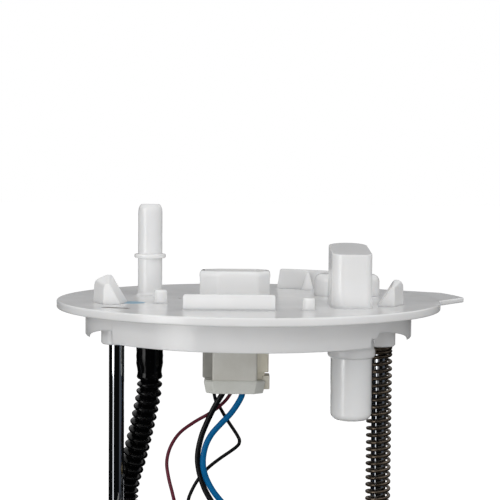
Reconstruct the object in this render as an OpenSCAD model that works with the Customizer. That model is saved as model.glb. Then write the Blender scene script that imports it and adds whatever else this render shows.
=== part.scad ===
// In-tank fuel pump module: moulded flange, two steel guide rods with one
// coil spring, and a sprung reservoir that carries the pump and level sender.
// The origin is on the flange's axis at its sealing face, and +Z points out
// of the tank. X runs through the two guide rods, and -Y is the sender side.

/* [Flange] */
// Radius of the round flange
flange_r = 73; // [70:0.5:76]
// Thickness of the flange plate
flange_t = 3; // [2.4:0.1:4]
// Rounding of the flange's rim
rim_edge = 0.6; // [0.3:0.1:1]
// How far the index ear reaches past the flange's rim
ear_reach = 12.6; // [8:0.2:18]
// Thickness of the index ear
ear_t = 1.9; // [1.4:0.1:2.3]
// Outer radius of the spigot that centres the flange in the tank
skirt_r = 62.2; // [61.5:0.1:64]
// Wall of the spigot
skirt_wall = 2.2; // [1.6:0.1:3]
// Depth of the spigot below the flange
skirt_h = 10.1; // [8.5:0.1:13]
// Height left above the notches in the spigot
notch_top = 6; // [4:0.1:7]
// Length of the straight guard wall in front of the socket
guard_l = 32; // [24:0.5:36]
// Height of the guard wall
guard_h = 5.6; // [4:0.1:8]
// Height of the two lugs beside the rim
lug_h = 9.6; // [7:0.1:12]

/* [Guide rods and spring] */
// Diameter of the guide rods
rod_d = 6; // [5:0.1:7]
// Distance of each rod from the centre line
rod_x = 51.2; // [50:0.1:52]
// Offset of the rods behind the centre
rod_y = 5; // [3:0.5:7]
// Diameter of the bosses that hold the rods
boss_d = 12; // [10.5:0.1:13]
// Depth of the rod bosses below the flange
boss_h = 15.5; // [13:0.1:18]
// Wall of the sleeves that run on the rods
sleeve_wall = 2.45; // [2:0.05:2.6]
// Length of the sleeves
sleeve_l = 48; // [30:1:52]
// Travel of the reservoir along the rods
travel = 30; // [15:1:32]
// Wire diameter of the main spring
spring_wire = 1.4; // [1:0.05:1.5]
// Outer diameter of the main spring
spring_od = 10; // [9.4:0.1:10.4]
// Pitch of the main spring's open coils
spring_pitch = 2.8; // [2.4:0.1:4]

/* [Fuel outlet] */
// Outer diameter of the quick-connect tube
outlet_d = 9.49; // [8:0.01:10]
// Length of the tube above the flange
outlet_h = 35.7; // [28:0.1:40]
// Bore of the tube
outlet_bore = 6; // [4.5:0.1:6.5]
// Diameter of the latching bead
bead_d = 12.3; // [11:0.1:14]
// Height of the bead's middle above the flange
bead_up = 15.1; // [12:0.1:18]
// Diameter of the hose nipple below the flange
nipple_d = 7.6; // [7.1:0.1:8]
// Length of the hose nipple
nipple_l = 26; // [20:0.5:28]
// Outer diameter of the hose's corrugations
hose_od = 9.5; // [9:0.1:10]
// Depth of the hose's corrugations
hose_groove = 1.5; // [0.5:0.1:1.6]
// Pitch of the hose's corrugations
hose_pitch = 3; // [2.6:0.1:4]

/* [Electrical connector] */
// Width of the socket on the flange
socket_w = 26.7; // [24:0.1:30]
// Depth of the socket from front to back
socket_d = 17; // [15:0.1:20]
// Height of the socket above the flange
socket_h = 10.6; // [9:0.1:14]
// Wall of the socket
socket_wall = 1.7; // [1.3:0.1:2.2]
// Distance between the contact blades
blade_pitch = 4.8; // [4.2:0.1:5]
// Width of a contact blade
blade_w = 2.2; // [1.5:0.1:2.8]
// Width of the harness plug below the flange
plug_w = 25.3; // [24:0.1:26]
// Depth of the harness plug from front to back
plug_d = 14; // [12:0.1:16]
// Distance from the flange down to the plug's end
plug_drop = 33; // [28:0.5:36]

/* [Vent valve] */
// Diameter of the valve's housing
valve_d = 15.1; // [14:0.1:16]
// Distance from the flange down to the housing's end
valve_drop = 38.8; // [32:0.1:42]
// Diameter of the collar that holds the housing
collar_d = 16.1; // [16:0.1:19]
// Depth of the collar below the flange
collar_h = 15.9; // [12:0.1:18]
// Travel of the float in the valve
vent_travel = 4; // [2:0.5:6]
// Width of the tall vent dome on the flange
dome_w = 14.3; // [13:0.1:16]
// Height of the vent dome at its front
dome_h = 19.1; // [15:0.1:22]

/* [Reservoir] */
// Distance from the flange down to the reservoir's cover
hang = 100; // [96:1:110]
// Outer radius of the reservoir
cup_r = 58; // [57.8:0.1:58.5]
// Height of the reservoir below its cover
cup_h = 90; // [88:1:100]
// Wall of the reservoir
cup_wall = 2; // [1.6:0.1:2.4]
// Thickness of the reservoir's floor
floor_t = 2.5; // [2:0.1:3]
// Height of the feet
foot_h = 3; // [2.6:0.1:4]
// Thickness of the cover
cover_t = 2; // [1.6:0.1:2.6]
// Depth of the cover's rim over the reservoir
cover_rim = 6; // [5:0.1:7]

/* [Pump] */
// Radius of the pump's steel can
can_r = 19; // [18:0.1:19.4]
// Length of the can
can_l = 64; // [60:1:66]
// Wall of the can
can_wall = 1; // [0.8:0.1:1.2]
// Diameter of the rotor's shaft
shaft_d = 4; // [3:0.1:4.6]
// Radius of the armature
armature_r = 12.5; // [11:0.1:13]
// Number of vanes on each face of the impeller
vane_count = 31; // [23:1:37]
// Travel of the outlet's check valve
check_travel = 1.5; // [1:0.1:1.8]

/* [Level sender] */
// Length of the float rod from its pivot to the float
arm_l = 78; // [70:1:90]
// Angle of the float arm below level at its lower stop
arm_rest = 25; // [15:1:28]
// Diameter of the float rod
arm_wire = 2.4; // [2:0.1:2.8]
// Length of the float
float_l = 32; // [26:1:36]
// Width and height of the float
float_w = 15; // [12:0.5:16]

/* [Hidden] */

$fn = 64;
eps = 0.01;

// Clearances
press_gap = 0.02;
run_gap = 0.05;
slip_gap = 0.15;
free_gap = 0.3;

// Colours
acetal = [0.93, 0.93, 0.92];
nylon = [0.86, 0.85, 0.80];
smoke = [0.20, 0.21, 0.22];
steel = [0.72, 0.73, 0.75];
zinc = [0.80, 0.80, 0.78];
dark = [0.08, 0.08, 0.09];
tin = [0.82, 0.80, 0.74];
copper = [0.80, 0.45, 0.22];
rubber = [0.10, 0.10, 0.10];

// Heights of the main levels
cover_z = -hang;
rim_z = cover_z - cover_t;
base_z = rim_z - cup_h;
floor_z = base_z + foot_h;
floor_top = floor_z + floor_t;
flat_cut = 6;
flat_y = flat_cut - cup_r;
cover_gap = 0.15;
cover_wall = 1.35;
cover_r = cup_r + cover_gap + cover_wall;
sleeve_up = 3;
sleeve_top = cover_z + sleeve_up;
sleeve_r = rod_d / 2 + run_gap + sleeve_wall;
sleeve_end = sleeve_top - sleeve_l;
clip_t = 1.2;
clip_lip = 1.4;
sleeve_web = 3;
rod_top = -3;
rod_end = sleeve_end - free_gap - clip_t - 2;

// Places
outlet = [-38.8, 11];
socket = [-5.1, 0];
plug = [-4.8, 0];
valve = [37.7, -25];
pump = [4, 6];
port = [-3, 16];
port_z = cover_z + 8;
regulator = [30, 16];
foot_valve = [30, -16];
pump_conn = [-3, -5];
sender_x = -10;
pivot_z = cover_z - 38;

function polar(r, a) = [r * cos(a), r * sin(a)];
function unit(v) = v / norm(v);

// Rounded rectangle of exact arcs, centred
module rounded(w, d, r) {
    square([w - 2 * r, d], center = true);
    square([w, d - 2 * r], center = true);
    for (x = [-1, 1], y = [-1, 1])
        translate([x * (w / 2 - r), y * (d / 2 - r)]) circle(r);
}

// Rectangle with its four corners cut off, centred
module chamfered(w, d, cx, cy) {
    polygon([
        [-w / 2 + cx, -d / 2], [w / 2 - cx, -d / 2], [w / 2, -d / 2 + cy],
        [w / 2, d / 2 - cy], [w / 2 - cx, d / 2], [-w / 2 + cx, d / 2],
        [-w / 2, d / 2 - cy], [-w / 2, -d / 2 + cy]
    ]);
}

// Plain tube between two heights
module tube(r_out, r_in, z0, z1) {
    difference() {
        translate([0, 0, z0]) cylinder(r = r_out, h = z1 - z0);
        translate([0, 0, z0 - 1]) cylinder(r = r_in, h = z1 - z0 + 2);
    }
}

// Solid cylinder between two heights
module rod(r, z0, z1) {
    translate([0, 0, z0]) cylinder(r = r, h = z1 - z0);
}

// Revolved disc with both edges rounded
module rounded_disc(r, t, edge) {
    rotate_extrude($fn = 128) {
        square([r - edge, t]);
        translate([0, edge]) square([r, t - 2 * edge]);
        for (z = [edge, t - edge]) translate([r - edge, z]) circle(edge, $fn = 24);
    }
}

// Swept tube: rings are [centre, radius] pairs, side is a vector that the
// route never runs along
module sweep(rings, side, n) {
    last = len(rings) - 1;
    function dir(i) = unit(rings[min(i + 1, last)][0] - rings[max(i - 1, 0)][0]);
    function across(i) = unit(cross(dir(i), side));
    points = [
        for (i = [0:last]) let (u = across(i), v = cross(dir(i), u))
            for (k = [0:n - 1])
                rings[i][0] + rings[i][1] * (cos(360 * k / n) * u + sin(360 * k / n) * v)
    ];
    walls = [
        for (i = [0:last - 1], k = [0:n - 1]) let (m = (k + 1) % n, a = i * n, b = a + n)
            each [[a + k, b + k, b + m], [a + k, b + m, a + m]]
    ];
    start = [for (k = [0:n - 1]) k];
    end = [for (k = [0:n - 1]) last * n + n - 1 - k];
    polyhedron(points, concat(walls, [start], [end]), convexity = 10);
}

// Points of a smooth curve through the route's points
function spline_at(p, i, t) =
    let (a = p[max(i - 1, 0)], b = p[i], c = p[i + 1], d = p[min(i + 2, len(p) - 1)])
    0.5 * (2 * b + (c - a) * t + (2 * a - 5 * b + 4 * c - d) * t * t
        + (3 * b - a - 3 * c + d) * t * t * t);
function smooth(p, steps) = [
    for (i = [0:len(p) - 2]) for (j = [0:steps - 1]) spline_at(p, i, j / steps),
    p[len(p) - 1]
];
function lengths(p) = [
    for (i = 0, s = 0; i < len(p); s = s + (i + 1 < len(p) ? norm(p[i + 1] - p[i]) : 0), i = i + 1) s
];
function along(p, s, d) = [
    for (k = [0:2]) lookup(d, [for (i = [0:len(p) - 1]) [s[i], p[i][k]]])
];

// A round wire along a route of hand-chosen points
module wire(route, r, n = 8) {
    sweep([for (q = smooth(route, 2)) [q, r]], [1, 0, 0], n);
}

// A coil spring about the Z axis: closed turns at both ends, open between
module coil(r, wire_r, z0, z1, open_turns, closed_turns, steps, n) {
    low = z0 + wire_r;
    high = z1 - wire_r;
    closed = 2 * wire_r * 1.04;
    turns = open_turns + 2 * closed_turns;
    rise = (high - low - 2 * closed_turns * closed) / open_turns;
    function height(t) = t < closed_turns ? low + t * closed
        : t > turns - closed_turns ? high - (turns - t) * closed
        : low + closed_turns * closed + (t - closed_turns) * rise;
    last = round(turns * steps);
    rings = [
        for (i = [0:last]) let (t = turns * i / last)
            [concat(polar(r, 360 * t), height(t)), wire_r]
    ];
    sweep(rings, [0, 0, 1], n);
}

// Flange moulding

// Plan of the index ear, from the rim out to its round tip
tip_r = 4;
ear_front = -5;
ear_tip = 8.5;
ear_back = 45;
module ear_plan() {
    reach = flange_r + ear_reach;
    root = polar(flange_r - 0.3, ear_front);
    tip = polar(reach - tip_r - 2 * eps, ear_tip);
    span = tip - root;
    swing = atan2(span[1], span[0]) - asin(tip_r / norm(span));
    touch = root + polar(sqrt(norm(span) * norm(span) - tip_r * tip_r), swing);
    intersection() {
        circle(reach, $fn = 128);
        union() {
            polygon([
                [0, 0], root, touch, tip, polar(reach * 1.1, ear_tip),
                polar(reach * 1.3, (ear_tip + ear_back) / 2), polar(reach * 1.1, ear_back)
            ]);
            translate(tip) circle(tip_r);
        }
    }
}

// A notch through the front of the spigot, cut straight from front to back;
// its roof runs down to the outer end in a quarter round
notch_r = 4;
notch_end = 58.2;
notch_step = 1.6;
module notch(inner) {
    r = min(notch_r, skirt_h - notch_top);
    middle = notch_end - r;
    rotate([90, 0, 0])
        linear_extrude(skirt_r + 1) {
            translate([inner, -skirt_h - 1]) square([middle - inner, skirt_h + 1 - notch_top]);
            translate([middle - 1, -skirt_h - 1]) square([r + 1, skirt_h + 1 - notch_top - r]);
            intersection() {
                translate([middle, -notch_top - r]) circle(r);
                translate([middle - 1, -notch_top - r - eps]) square(r + 1);
            }
        }
}

// Outlet tube with its lead-in tip and its latching bead
tip_taper = 2.2;
module outlet_tube() {
    r = outlet_d / 2;
    bead_t = 1.8;
    rotate_extrude() {
        polygon([
            [0, -flange_t], [r, -flange_t], [r, outlet_h - tip_taper],
            [r - 0.45, outlet_h - 0.7], [r - 1.05, outlet_h], [0, outlet_h]
        ]);
        translate([0, bead_up - bead_t / 2 + 0.3]) square([bead_d / 2, bead_t - 0.6]);
        translate([0, bead_up - bead_t / 2]) square([bead_d / 2 - 0.3, bead_t]);
        for (z = [-1, 1])
            translate([bead_d / 2 - 0.3, bead_up + z * (bead_t / 2 - 0.3)]) circle(0.3, $fn = 24);
        polygon([[0, 0], [r + 1.2, 0], [r + 0.35, 0.35], [r, 1.2], [0, 1.2]]);
    }
}

// Hose nipple below the flange, with two barbs
barb_up = 0.35;
module hose_nipple(r, length) {
    rotate_extrude()
        polygon([
            [0, 0], [r, 0], [r, -length + 9], [r + barb_up, -length + 8.6],
            [r, -length + 5.4], [r, -length + 4.6], [r + barb_up, -length + 4.2],
            [r, -length + 1], [r - 0.5, -length], [0, -length]
        ]);
}

// A lug: a wedge beside the rim, tall and wide behind, low and narrow in front
lug_front = -30;
lug_back = -20;
lug_end = [[46.1, 0], [50, 0.7], [51.2, 0.7], [51.5, 0.66], [51.5, 0]];
lug_rear = [
    [44.5, 0], [50.3, 1], [52.2, 1], [54.4, 0.95], [55.7, 0.85], [56.6, 0.68], [57, 0.4], [57.2, 0]
];
module lug() {
    hull()
        for (e = [[lug_front, lug_end], [lug_back, lug_rear]])
            translate([0, e[0], 0])
                rotate([90, 0, 0])
                    linear_extrude(0.1) polygon([for (q = e[1]) [q[0], q[1] * lug_h]]);
}

// A round post with a small chamfer
module post(r, h) {
    rotate_extrude()
        polygon([[0, -eps], [r, -eps], [r, h - 0.5], [r - 0.5, h], [0, h]]);
}

// Plan of the vent dome: flat front with round corners, and a round back
dome_l = 30.3;
dome_front = -38;
dome_x = 36.75;
module dome_plan(w, grow) {
    back = dome_front + dome_l - dome_w / 2;
    translate([dome_x, 0]) {
        translate([0, back]) circle(w / 2);
        translate([-w / 2, dome_front + 3 - grow]) square([w, back - dome_front - 3 + grow]);
        translate([-w / 2 + 3, dome_front - grow]) square([w - 6, 4]);
        for (x = [-1, 1]) translate([x * (w / 2 - 3), dome_front + 3 - grow]) circle(3);
    }
}

// The dome's flat roof rises to the back
dome_slope = 5.6;
module vent_dome() {
    difference() {
        translate([0, 0, -eps]) linear_extrude(dome_h + 8) dome_plan(dome_w, 0);
        translate([dome_x - dome_w, dome_front, dome_h])
            rotate([dome_slope, 0, 0])
                translate([0, -dome_l, 0]) cube([2 * dome_w, 3 * dome_l, 30]);
    }
}

// Low blister with round ends and a rounded top edge
blister = [39, 17];
blister_w = 14;
blister_l = 26;
blister_h = 8.6;
module low_blister() {
    r = blister_w / 2;
    half = blister_l / 2 - r;
    module profile() {
        square([r - 3, blister_h]);
        translate([0, -eps]) square([r, blister_h - 3]);
        translate([r - 3, blister_h - 3]) circle(3);
    }
    module half_profile() {
        intersection() {
            profile();
            translate([0, -eps]) square([r + 1, blister_h + 1]);
        }
    }
    translate([blister[0], blister[1], 0]) {
        for (x = [-1, 1]) translate([x * half, 0, 0]) rotate_extrude() half_profile();
        rotate([90, 0, 90])
            translate([0, 0, -half])
                linear_extrude(2 * half) {
                    half_profile();
                    mirror([1, 0]) half_profile();
                }
    }
}

// Socket walls: eight-sided plan, with a small lip round the mouth
socket_cx = 7.2;
socket_cy = 4.2;
module socket_wall_shape() {
    difference() {
        union() {
            translate([0, 0, -eps])
                linear_extrude(socket_h - 1.6)
                    chamfered(socket_w - 0.8, socket_d - 0.8, socket_cx, socket_cy);
            translate([0, 0, socket_h - 2])
                linear_extrude(2) chamfered(socket_w, socket_d, socket_cx, socket_cy);
        }
        translate([0, 0, -1])
            linear_extrude(socket_h + 2)
                chamfered(socket_w - 2 * socket_wall, socket_d - 2 * socket_wall,
                    socket_cx - 0.6, socket_cy - 0.4);
    }
}

inner_socket_h = 8;
inner_socket_wall = 1.6;
plug_top = -2;
blade_t = 0.8;
blade_up = 6.4;
blade_down = 16;
module blade_rows(w, t, z0, z1) {
    for (i = [-1.5:1:1.5])
        translate([socket[0] + i * blade_pitch - w / 2, socket[1] - t / 2, z0])
            cube([w, t, z1 - z0]);
}

seat_t = 2;
seat_z = -seat_t;
valve_wall = 1.2;
wall_inner = 50;
module flange() {
    color(acetal)
    difference() {
        union() {
            rounded_disc(flange_r, flange_t, rim_edge);
            translate([0, 0, flange_t - ear_t]) linear_extrude(ear_t) ear_plan();
            difference() {
                tube(skirt_r, skirt_r - skirt_wall, -skirt_h, eps);
                mirror([1, 0, 0]) notch(48.3);
                notch(46.2);
                translate([43.5, -skirt_r - 1, -skirt_h - 1])
                    cube([4, skirt_r, skirt_h + 1 - notch_top - notch_step]);
            }
            for (x = [-1, 1]) {
                translate([x * rod_x, rod_y, 0]) rod(boss_d / 2, -boss_h, eps);
                for (a = [-35, 35])
                    translate([x * rod_x, rod_y, 0])
                        rotate([0, 0, x > 0 ? a : 180 + a])
                            translate([0, -0.8, -7]) cube([8.8, 1.6, 7 + eps]);
            }
            translate([outlet[0], outlet[1], flange_t]) outlet_tube();
            translate([outlet[0], outlet[1], eps]) hose_nipple(nipple_d / 2, nipple_l);
            translate([outlet[0], outlet[1], 0]) rod(outlet_d / 2 + 1.5, -4, eps);
            translate([0, 0, flange_t - eps]) {
                lug();
                mirror([1, 0, 0]) lug();
                translate([-6.7 - guard_l / 2, -49, 0]) cube([guard_l, 2, guard_h]);
                translate([socket[0], socket[1], 0]) socket_wall_shape();
                translate([-32.3, -21.8, 0]) post(2.4, 4.9);
                translate([21, -45, 0]) post(2, 4.4);
                translate([24.5, 41, 0])
                    rotate_extrude() polygon([[0, 0], [2.6, 0], [0.4, 7.4], [0, 7.4]]);
                vent_dome();
                low_blister();
                rotate([0, 0, 44])
                    rotate_extrude(angle = 31, $fn = 128)
                        translate([wall_inner, 0]) square([2, 8.2]);
                rotate([0, 0, 75])
                    rotate_extrude(angle = 1.2, $fn = 128)
                        translate([wall_inner, 0]) square([2, 4]);
            }
            translate([plug[0], plug[1], -inner_socket_h])
                linear_extrude(inner_socket_h + eps)
                    rounded(plug_w + 2 * slip_gap + 2 * inner_socket_wall,
                        plug_d + 2 * slip_gap + 2 * inner_socket_wall, 2.5);
            translate([valve[0], valve[1], 0]) rod(collar_d / 2, -collar_h, eps);
            for (a = [60, 120, 240, 285])
                rotate([0, 0, a]) translate([14, -0.8, -4]) cube([skirt_r - 15, 1.6, 4 + eps]);
        }
        for (x = [-1, 1])
            translate([x * rod_x, rod_y, 0]) rod(rod_d / 2, -boss_h - 1, rod_top);
        translate([outlet[0], outlet[1], 0])
            rod(outlet_bore / 2, -nipple_l - 1, flange_t + outlet_h + 1);
        translate([plug[0], plug[1], -inner_socket_h - 1])
            linear_extrude(inner_socket_h + 1)
                rounded(plug_w + 2 * slip_gap, plug_d + 2 * slip_gap, 1);
        blade_rows(blade_w, blade_t, -1, flange_t + 1);
        translate([valve[0], valve[1], 0]) {
            rod(valve_d / 2 + press_gap, -collar_h - 1, 0);
            rod(4, -1, flange_t + 1);
        }
        translate([0, 0, 1])
            intersection() {
                linear_extrude(flange_t + dome_h - 3)
                    dome_plan(dome_w - 4, -2);
                translate([dome_x - 20, dome_front - 5, 0]) cube([40, 40, dome_h + 1]);
            }
        translate([-46.5, -42, flange_t - 0.8])
            rotate([0, 0, -42]) linear_extrude(2) rounded(10, 2.6, 1.29);
        translate([-26.3, -2, flange_t - 1]) cylinder(r = 0.8, h = 2);
    }
}

// Connector pieces

module contact_blades() {
    color(tin) blade_rows(blade_w, blade_t, -blade_down, flange_t + blade_up);
}

// Harness plug: a front block, two side shoulders and a latch on the right
lock_t = 5;
plug_step = 9;
latch_x = 10.4;
module harness_plug() {
    bottom = -plug_drop + lock_t;
    front = -plug_d / 2;
    color(nylon)
    difference() {
        union() {
            translate([plug[0], plug[1], -plug_step])
                linear_extrude(plug_step + plug_top) rounded(plug_w, plug_d, 1);
            translate([plug[0] - 8, front, bottom])
                cube([15.8, plug_d, -plug_step - bottom + eps]);
            translate([plug[0] - plug_w / 2, front + 2.5, bottom + 0.7])
                cube([6, plug_d - 5, -plug_step - bottom - 0.7 + eps]);
            translate([plug[0] - plug_w / 2 + 0.7, front + 3, bottom])
                cube([6, plug_d - 6, 1]);
            translate([plug[0] + 6.5, front + 2, bottom + 3.1])
                cube([plug_w / 2 - 6.5, plug_d - 4, -plug_step - bottom - 3.1 + eps]);
            translate([plug[0] + 6.5, front + 4, bottom])
                cube([4.7, plug_d - 8, 4]);
            translate([plug[0] + latch_x, -3, -plug_drop + 1.8])
                cube([0.9, 6, lock_t - 1]);
            translate([plug[0] + latch_x, -3, -plug_drop + 1.8])
                cube([plug_w / 2 + 0.1 - latch_x, 6, 5.4]);
        }
        blade_rows(blade_w + 2 * slip_gap, blade_t + 2 * slip_gap, -blade_down - 1, plug_top + 1);
        translate([plug[0] + 7.4, front - eps, bottom + 6])
            cube([1, 3, -plug_step - bottom - 7]);
    }
}

// Terminal lock across the plug's wire end
module plug_lock() {
    color(nylon)
    translate([plug[0] - 1.1, plug[1], -plug_drop])
        difference() {
            intersection() {
                translate([0, plug_d / 2 + 0.3, 0])
                    rotate([90, 0, 0])
                        linear_extrude(plug_d + 0.6)
                            polygon([[-10.6, 0], [10.2, 0], [11.2, lock_t], [-11.2, lock_t]]);
                linear_extrude(lock_t) rounded(22.4, plug_d + 0.6, 1.5);
            }
            for (x = [-6.6, 4.6])
                translate([x, -plug_d / 2 - 1, 1.2]) cube([2, 1.6, 2.4]);
        }
}

// Vent valve

valve_floor = 1.5;
float_r = valve_d / 2 - valve_wall - free_gap;
valve_top = seat_z - 0.4;
float_top = seat_z - seat_t - vent_travel - free_gap;
float_low = -valve_drop + valve_floor + 7;
module valve_housing() {
    r = valve_d / 2;
    edge = 2.5;
    color(acetal)
    translate([valve[0], valve[1], 0])
        difference() {
            rotate_extrude() {
                translate([0, -valve_drop + edge]) square([r, valve_drop - edge + seat_z]);
                translate([0, -valve_drop]) square([r - edge, edge + 1]);
                translate([r - edge, -valve_drop + edge]) circle(edge);
            }
            rod(r - valve_wall, -valve_drop + valve_floor, 1);
            rod(1.2, -valve_drop - 1, 0);
            for (a = [45:90:359])
                rotate([0, 0, a])
                    translate([0, -0.8, -valve_drop + 12]) cube([r + 1, 1.6, 6]);
        }
}

module valve_seat() {
    r = valve_d / 2;
    color(nylon)
    translate([valve[0], valve[1], 0])
        difference() {
            union() {
                rod(r, seat_z + eps, 0);
                rod(r - valve_wall - press_gap, seat_z - seat_t, seat_z + 0.5);
            }
            rod(1.3, seat_z - seat_t - 1, 1);
            translate([0, 0, seat_z - seat_t - eps]) cylinder(r1 = 2.6, r2 = 1.3, h = 1);
        }
}

module vent_float() {
    color(nylon)
    translate([valve[0], valve[1], 0])
        difference() {
            union() {
                rod(float_r, float_low, float_top - 2);
                translate([0, 0, float_top - 2]) cylinder(r1 = float_r, r2 = 1.9, h = 1);
                translate([0, 0, float_top - 1.01]) cylinder(r1 = 1.9, r2 = 0.9, h = 1.01);
            }
            rod(3.4, float_low - 1, float_low + 5);
        }
}

module vent_spring() {
    color(steel)
    translate([valve[0], valve[1], 0])
        coil(2.6, 0.25, -valve_drop + valve_floor, float_low + 5, 5, 1, 8, 5);
}

// Guide rods, clips and main spring

module guide_rod(side) {
    color(steel)
    translate([side * rod_x, rod_y, 0])
        difference() {
            union() {
                rod(rod_d / 2, rod_end + 0.6, rod_top - 0.6);
                translate([0, 0, rod_end]) cylinder(r1 = rod_d / 2 - 0.6, r2 = rod_d / 2, h = 0.6);
                translate([0, 0, rod_top - 0.6])
                    cylinder(r1 = rod_d / 2, r2 = rod_d / 2 - 0.6, h = 0.6);
            }
            translate([0, 0, rod_end + 2]) tube(rod_d, rod_d / 2 - 0.5, 0, clip_t);
        }
}
module guide_rod_left() { guide_rod(-1); }
module guide_rod_right() { guide_rod(1); }

module rod_clips() {
    color(steel)
    for (x = [-1, 1])
        translate([x * rod_x, rod_y, rod_end + 2 + press_gap])
            rotate([0, 0, x > 0 ? 180 : 0])
                linear_extrude(clip_t - 2 * press_gap)
                    difference() {
                        circle(rod_d / 2 + clip_lip);
                        circle(rod_d / 2 - 0.5);
                        polygon([[0, 0], polar(9, 40), polar(9, -40)]);
                    }
}

module main_spring() {
    top = -boss_h;
    closed = 2;
    open_turns = round((top - sleeve_top - 4.2 * spring_wire * closed / 2) / spring_pitch);
    color([0.28, 0.19, 0.14])
    translate([rod_x, rod_y, 0])
        coil((spring_od - spring_wire) / 2, spring_wire / 2, sleeve_top, top,
            open_turns, closed, 12, 6);
}

// Hose

cuff_r = hose_od / 2 + 0.3;
cuff_end = -30;
cuff_top = -5;
spigot_start = port[0] - 7;
spigot_l = 19;
hose_bore = nipple_d / 2 + 0.1;
hose_route = [
    [outlet[0], outlet[1], cuff_end], [-39, 11.2, -35], [-40.5, 12.2, -43], [-43, 14, -54],
    [-45, 15.5, -62], [-47.3, 17, -70], [-48.6, 17.6, -77], [-48, 17.4, -82],
    [-45.3, 16.9, -87], [-40.8, 16.3, port_z + 1.2], [-35.5, 16, port_z], [-31, 16, port_z]
];
module outlet_hose() {
    path = smooth(hose_route, 4);
    s = lengths(path);
    total = s[len(s) - 1];
    ribs = round(total / hose_pitch);
    step = total / ribs / 2;
    far = [spigot_start - 2, port[1], port_z];
    rings = concat(
        [
            [[outlet[0], outlet[1], cuff_top], cuff_r - 0.2],
            [[outlet[0], outlet[1], cuff_top - 1], cuff_r],
            [[outlet[0], outlet[1], -17], cuff_r],
            [[outlet[0], outlet[1], -19.5], cuff_r - 0.35],
            [[outlet[0], outlet[1], cuff_end + 3], cuff_r - 0.1]
        ],
        [
            for (i = [0:2 * ribs])
                [along(path, s, i * step), i % 2 == 0 ? hose_od / 2 - hose_groove : hose_od / 2]
        ],
        [
            [[hose_route[11][0] + 0.6, port[1], port_z], cuff_r - 0.1],
            [far - [1, 0, 0], cuff_r], [far, cuff_r - 0.3]
        ]
    );
    color(dark)
    difference() {
        sweep(rings, [0, 1, 0], 12);
        translate([outlet[0], outlet[1], 0]) rod(hose_bore, -nipple_l - 1, 0);
        translate([far[0] - spigot_l + 1, port[1], port_z])
            rotate([0, 90, 0]) cylinder(r = spigot_r + barb_up + free_gap, h = spigot_l + 2);
    }
}

// Wires, from the plug's lower face to the pump plug and the sender

wire_top = -plug_drop;
pump_plug_top = cover_z + 11;
head_y = -49;
blue_route = [
    [-2, 0, wire_top], [-2.4, -0.2, -35], [-4, -0.6, -38], [-6.7, -1, -41.8], [-10.1, -1.5, -45.3],
    [-14, -2, -49.8], [-16.3, -2.5, -54.8], [-17, -3, -60.5], [-16, -3.4, -65.5],
    [-13.5, -4, -70.4], [-10, -4.6, -74.8], [-6, -5.2, -78.6], [-2.6, -5.2, -82],
    [-0.7, -5, -85.6], [-0.5, -5, pump_plug_top + 0.2]
];
black_route = [
    [-9.6, 1.4, wire_top], [-10, 1.4, -34.6], [-12.6, 1.4, -39], [-15.5, 1.2, -45],
    [-17.9, 1, -51.2], [-19.2, 0.4, -58.1], [-18.7, -0.2, -64], [-16.7, -1.2, -70.2],
    [-14.2, -2.2, -74.7], [-11.2, -3.4, -78.6], [-8, -4.4, -82], [-5.8, -5, -85.6],
    [-5.5, -5, pump_plug_top + 0.2]
];
maroon_route = [
    [-6.2, 3.2, wire_top], [-6.7, 3.3, -34.5], [-8.7, 3.6, -37.4], [-11.9, 3.9, -40.4],
    [-15.5, 4, -42.9], [-20.9, 3.6, -46], [-26.3, 2, -49.9], [-29.7, 0, -54.9],
    [-31, -2, -60.3], [-30.2, -4.2, -65.7], [-28.4, -7.2, -71.5], [-27, -10.6, -76],
    [-25.3, -16, -83], [-22.5, -22.5, -90], [-19, -31, -95.6], [-16, -38.5, -97.6],
    [-14.6, -44, -97], [-14.5, head_y + 0.2, -96.6]
];
thin_black_route = [
    [-13, 5.6, wire_top], [-13.2, 5.8, -34.5], [-12.5, 6.4, -37.9], [-11, 6.8, -40.4],
    [-8.2, 6.8, -45.2], [-4, 6, -51.4], [-3.1, 5, -53.8], [-4.6, 4.2, -55.9],
    [-11, 3.6, -60.4], [-15.3, 3.4, -63.9], [-18.7, 2.6, -67.7], [-21.6, 1, -72.6],
    [-22.8, -2, -76.6], [-22.2, -8, -83], [-18.5, -16, -89.6], [-12.5, -26, -94.8],
    [-7.6, -36, -97.4], [-5.7, -43.5, -97], [-5.5, head_y + 0.2, -96.6]
];
module blue_wire() { color([0.02, 0.32, 0.60]) wire(blue_route, 1.15); }
module black_wire() { color(dark) wire(black_route, 1.1); }
module maroon_wire() { color([0.40, 0.14, 0.24]) wire(maroon_route, 0.6); }
module thin_black_wire() { color(dark) wire(thin_black_route, 0.6); }

// Reservoir

snap_angles = [32, 148, 212, 328];
snap_w = 8;
snap_z = rim_z - 2.6;

// Plan of the reservoir: a circle with a flat for the level sender
module cup_plan(r, flat) {
    intersection() {
        circle(r, $fn = 128);
        translate([-r - 1, flat]) square([2 * r + 2, 2 * r + 2]);
    }
}

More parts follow.
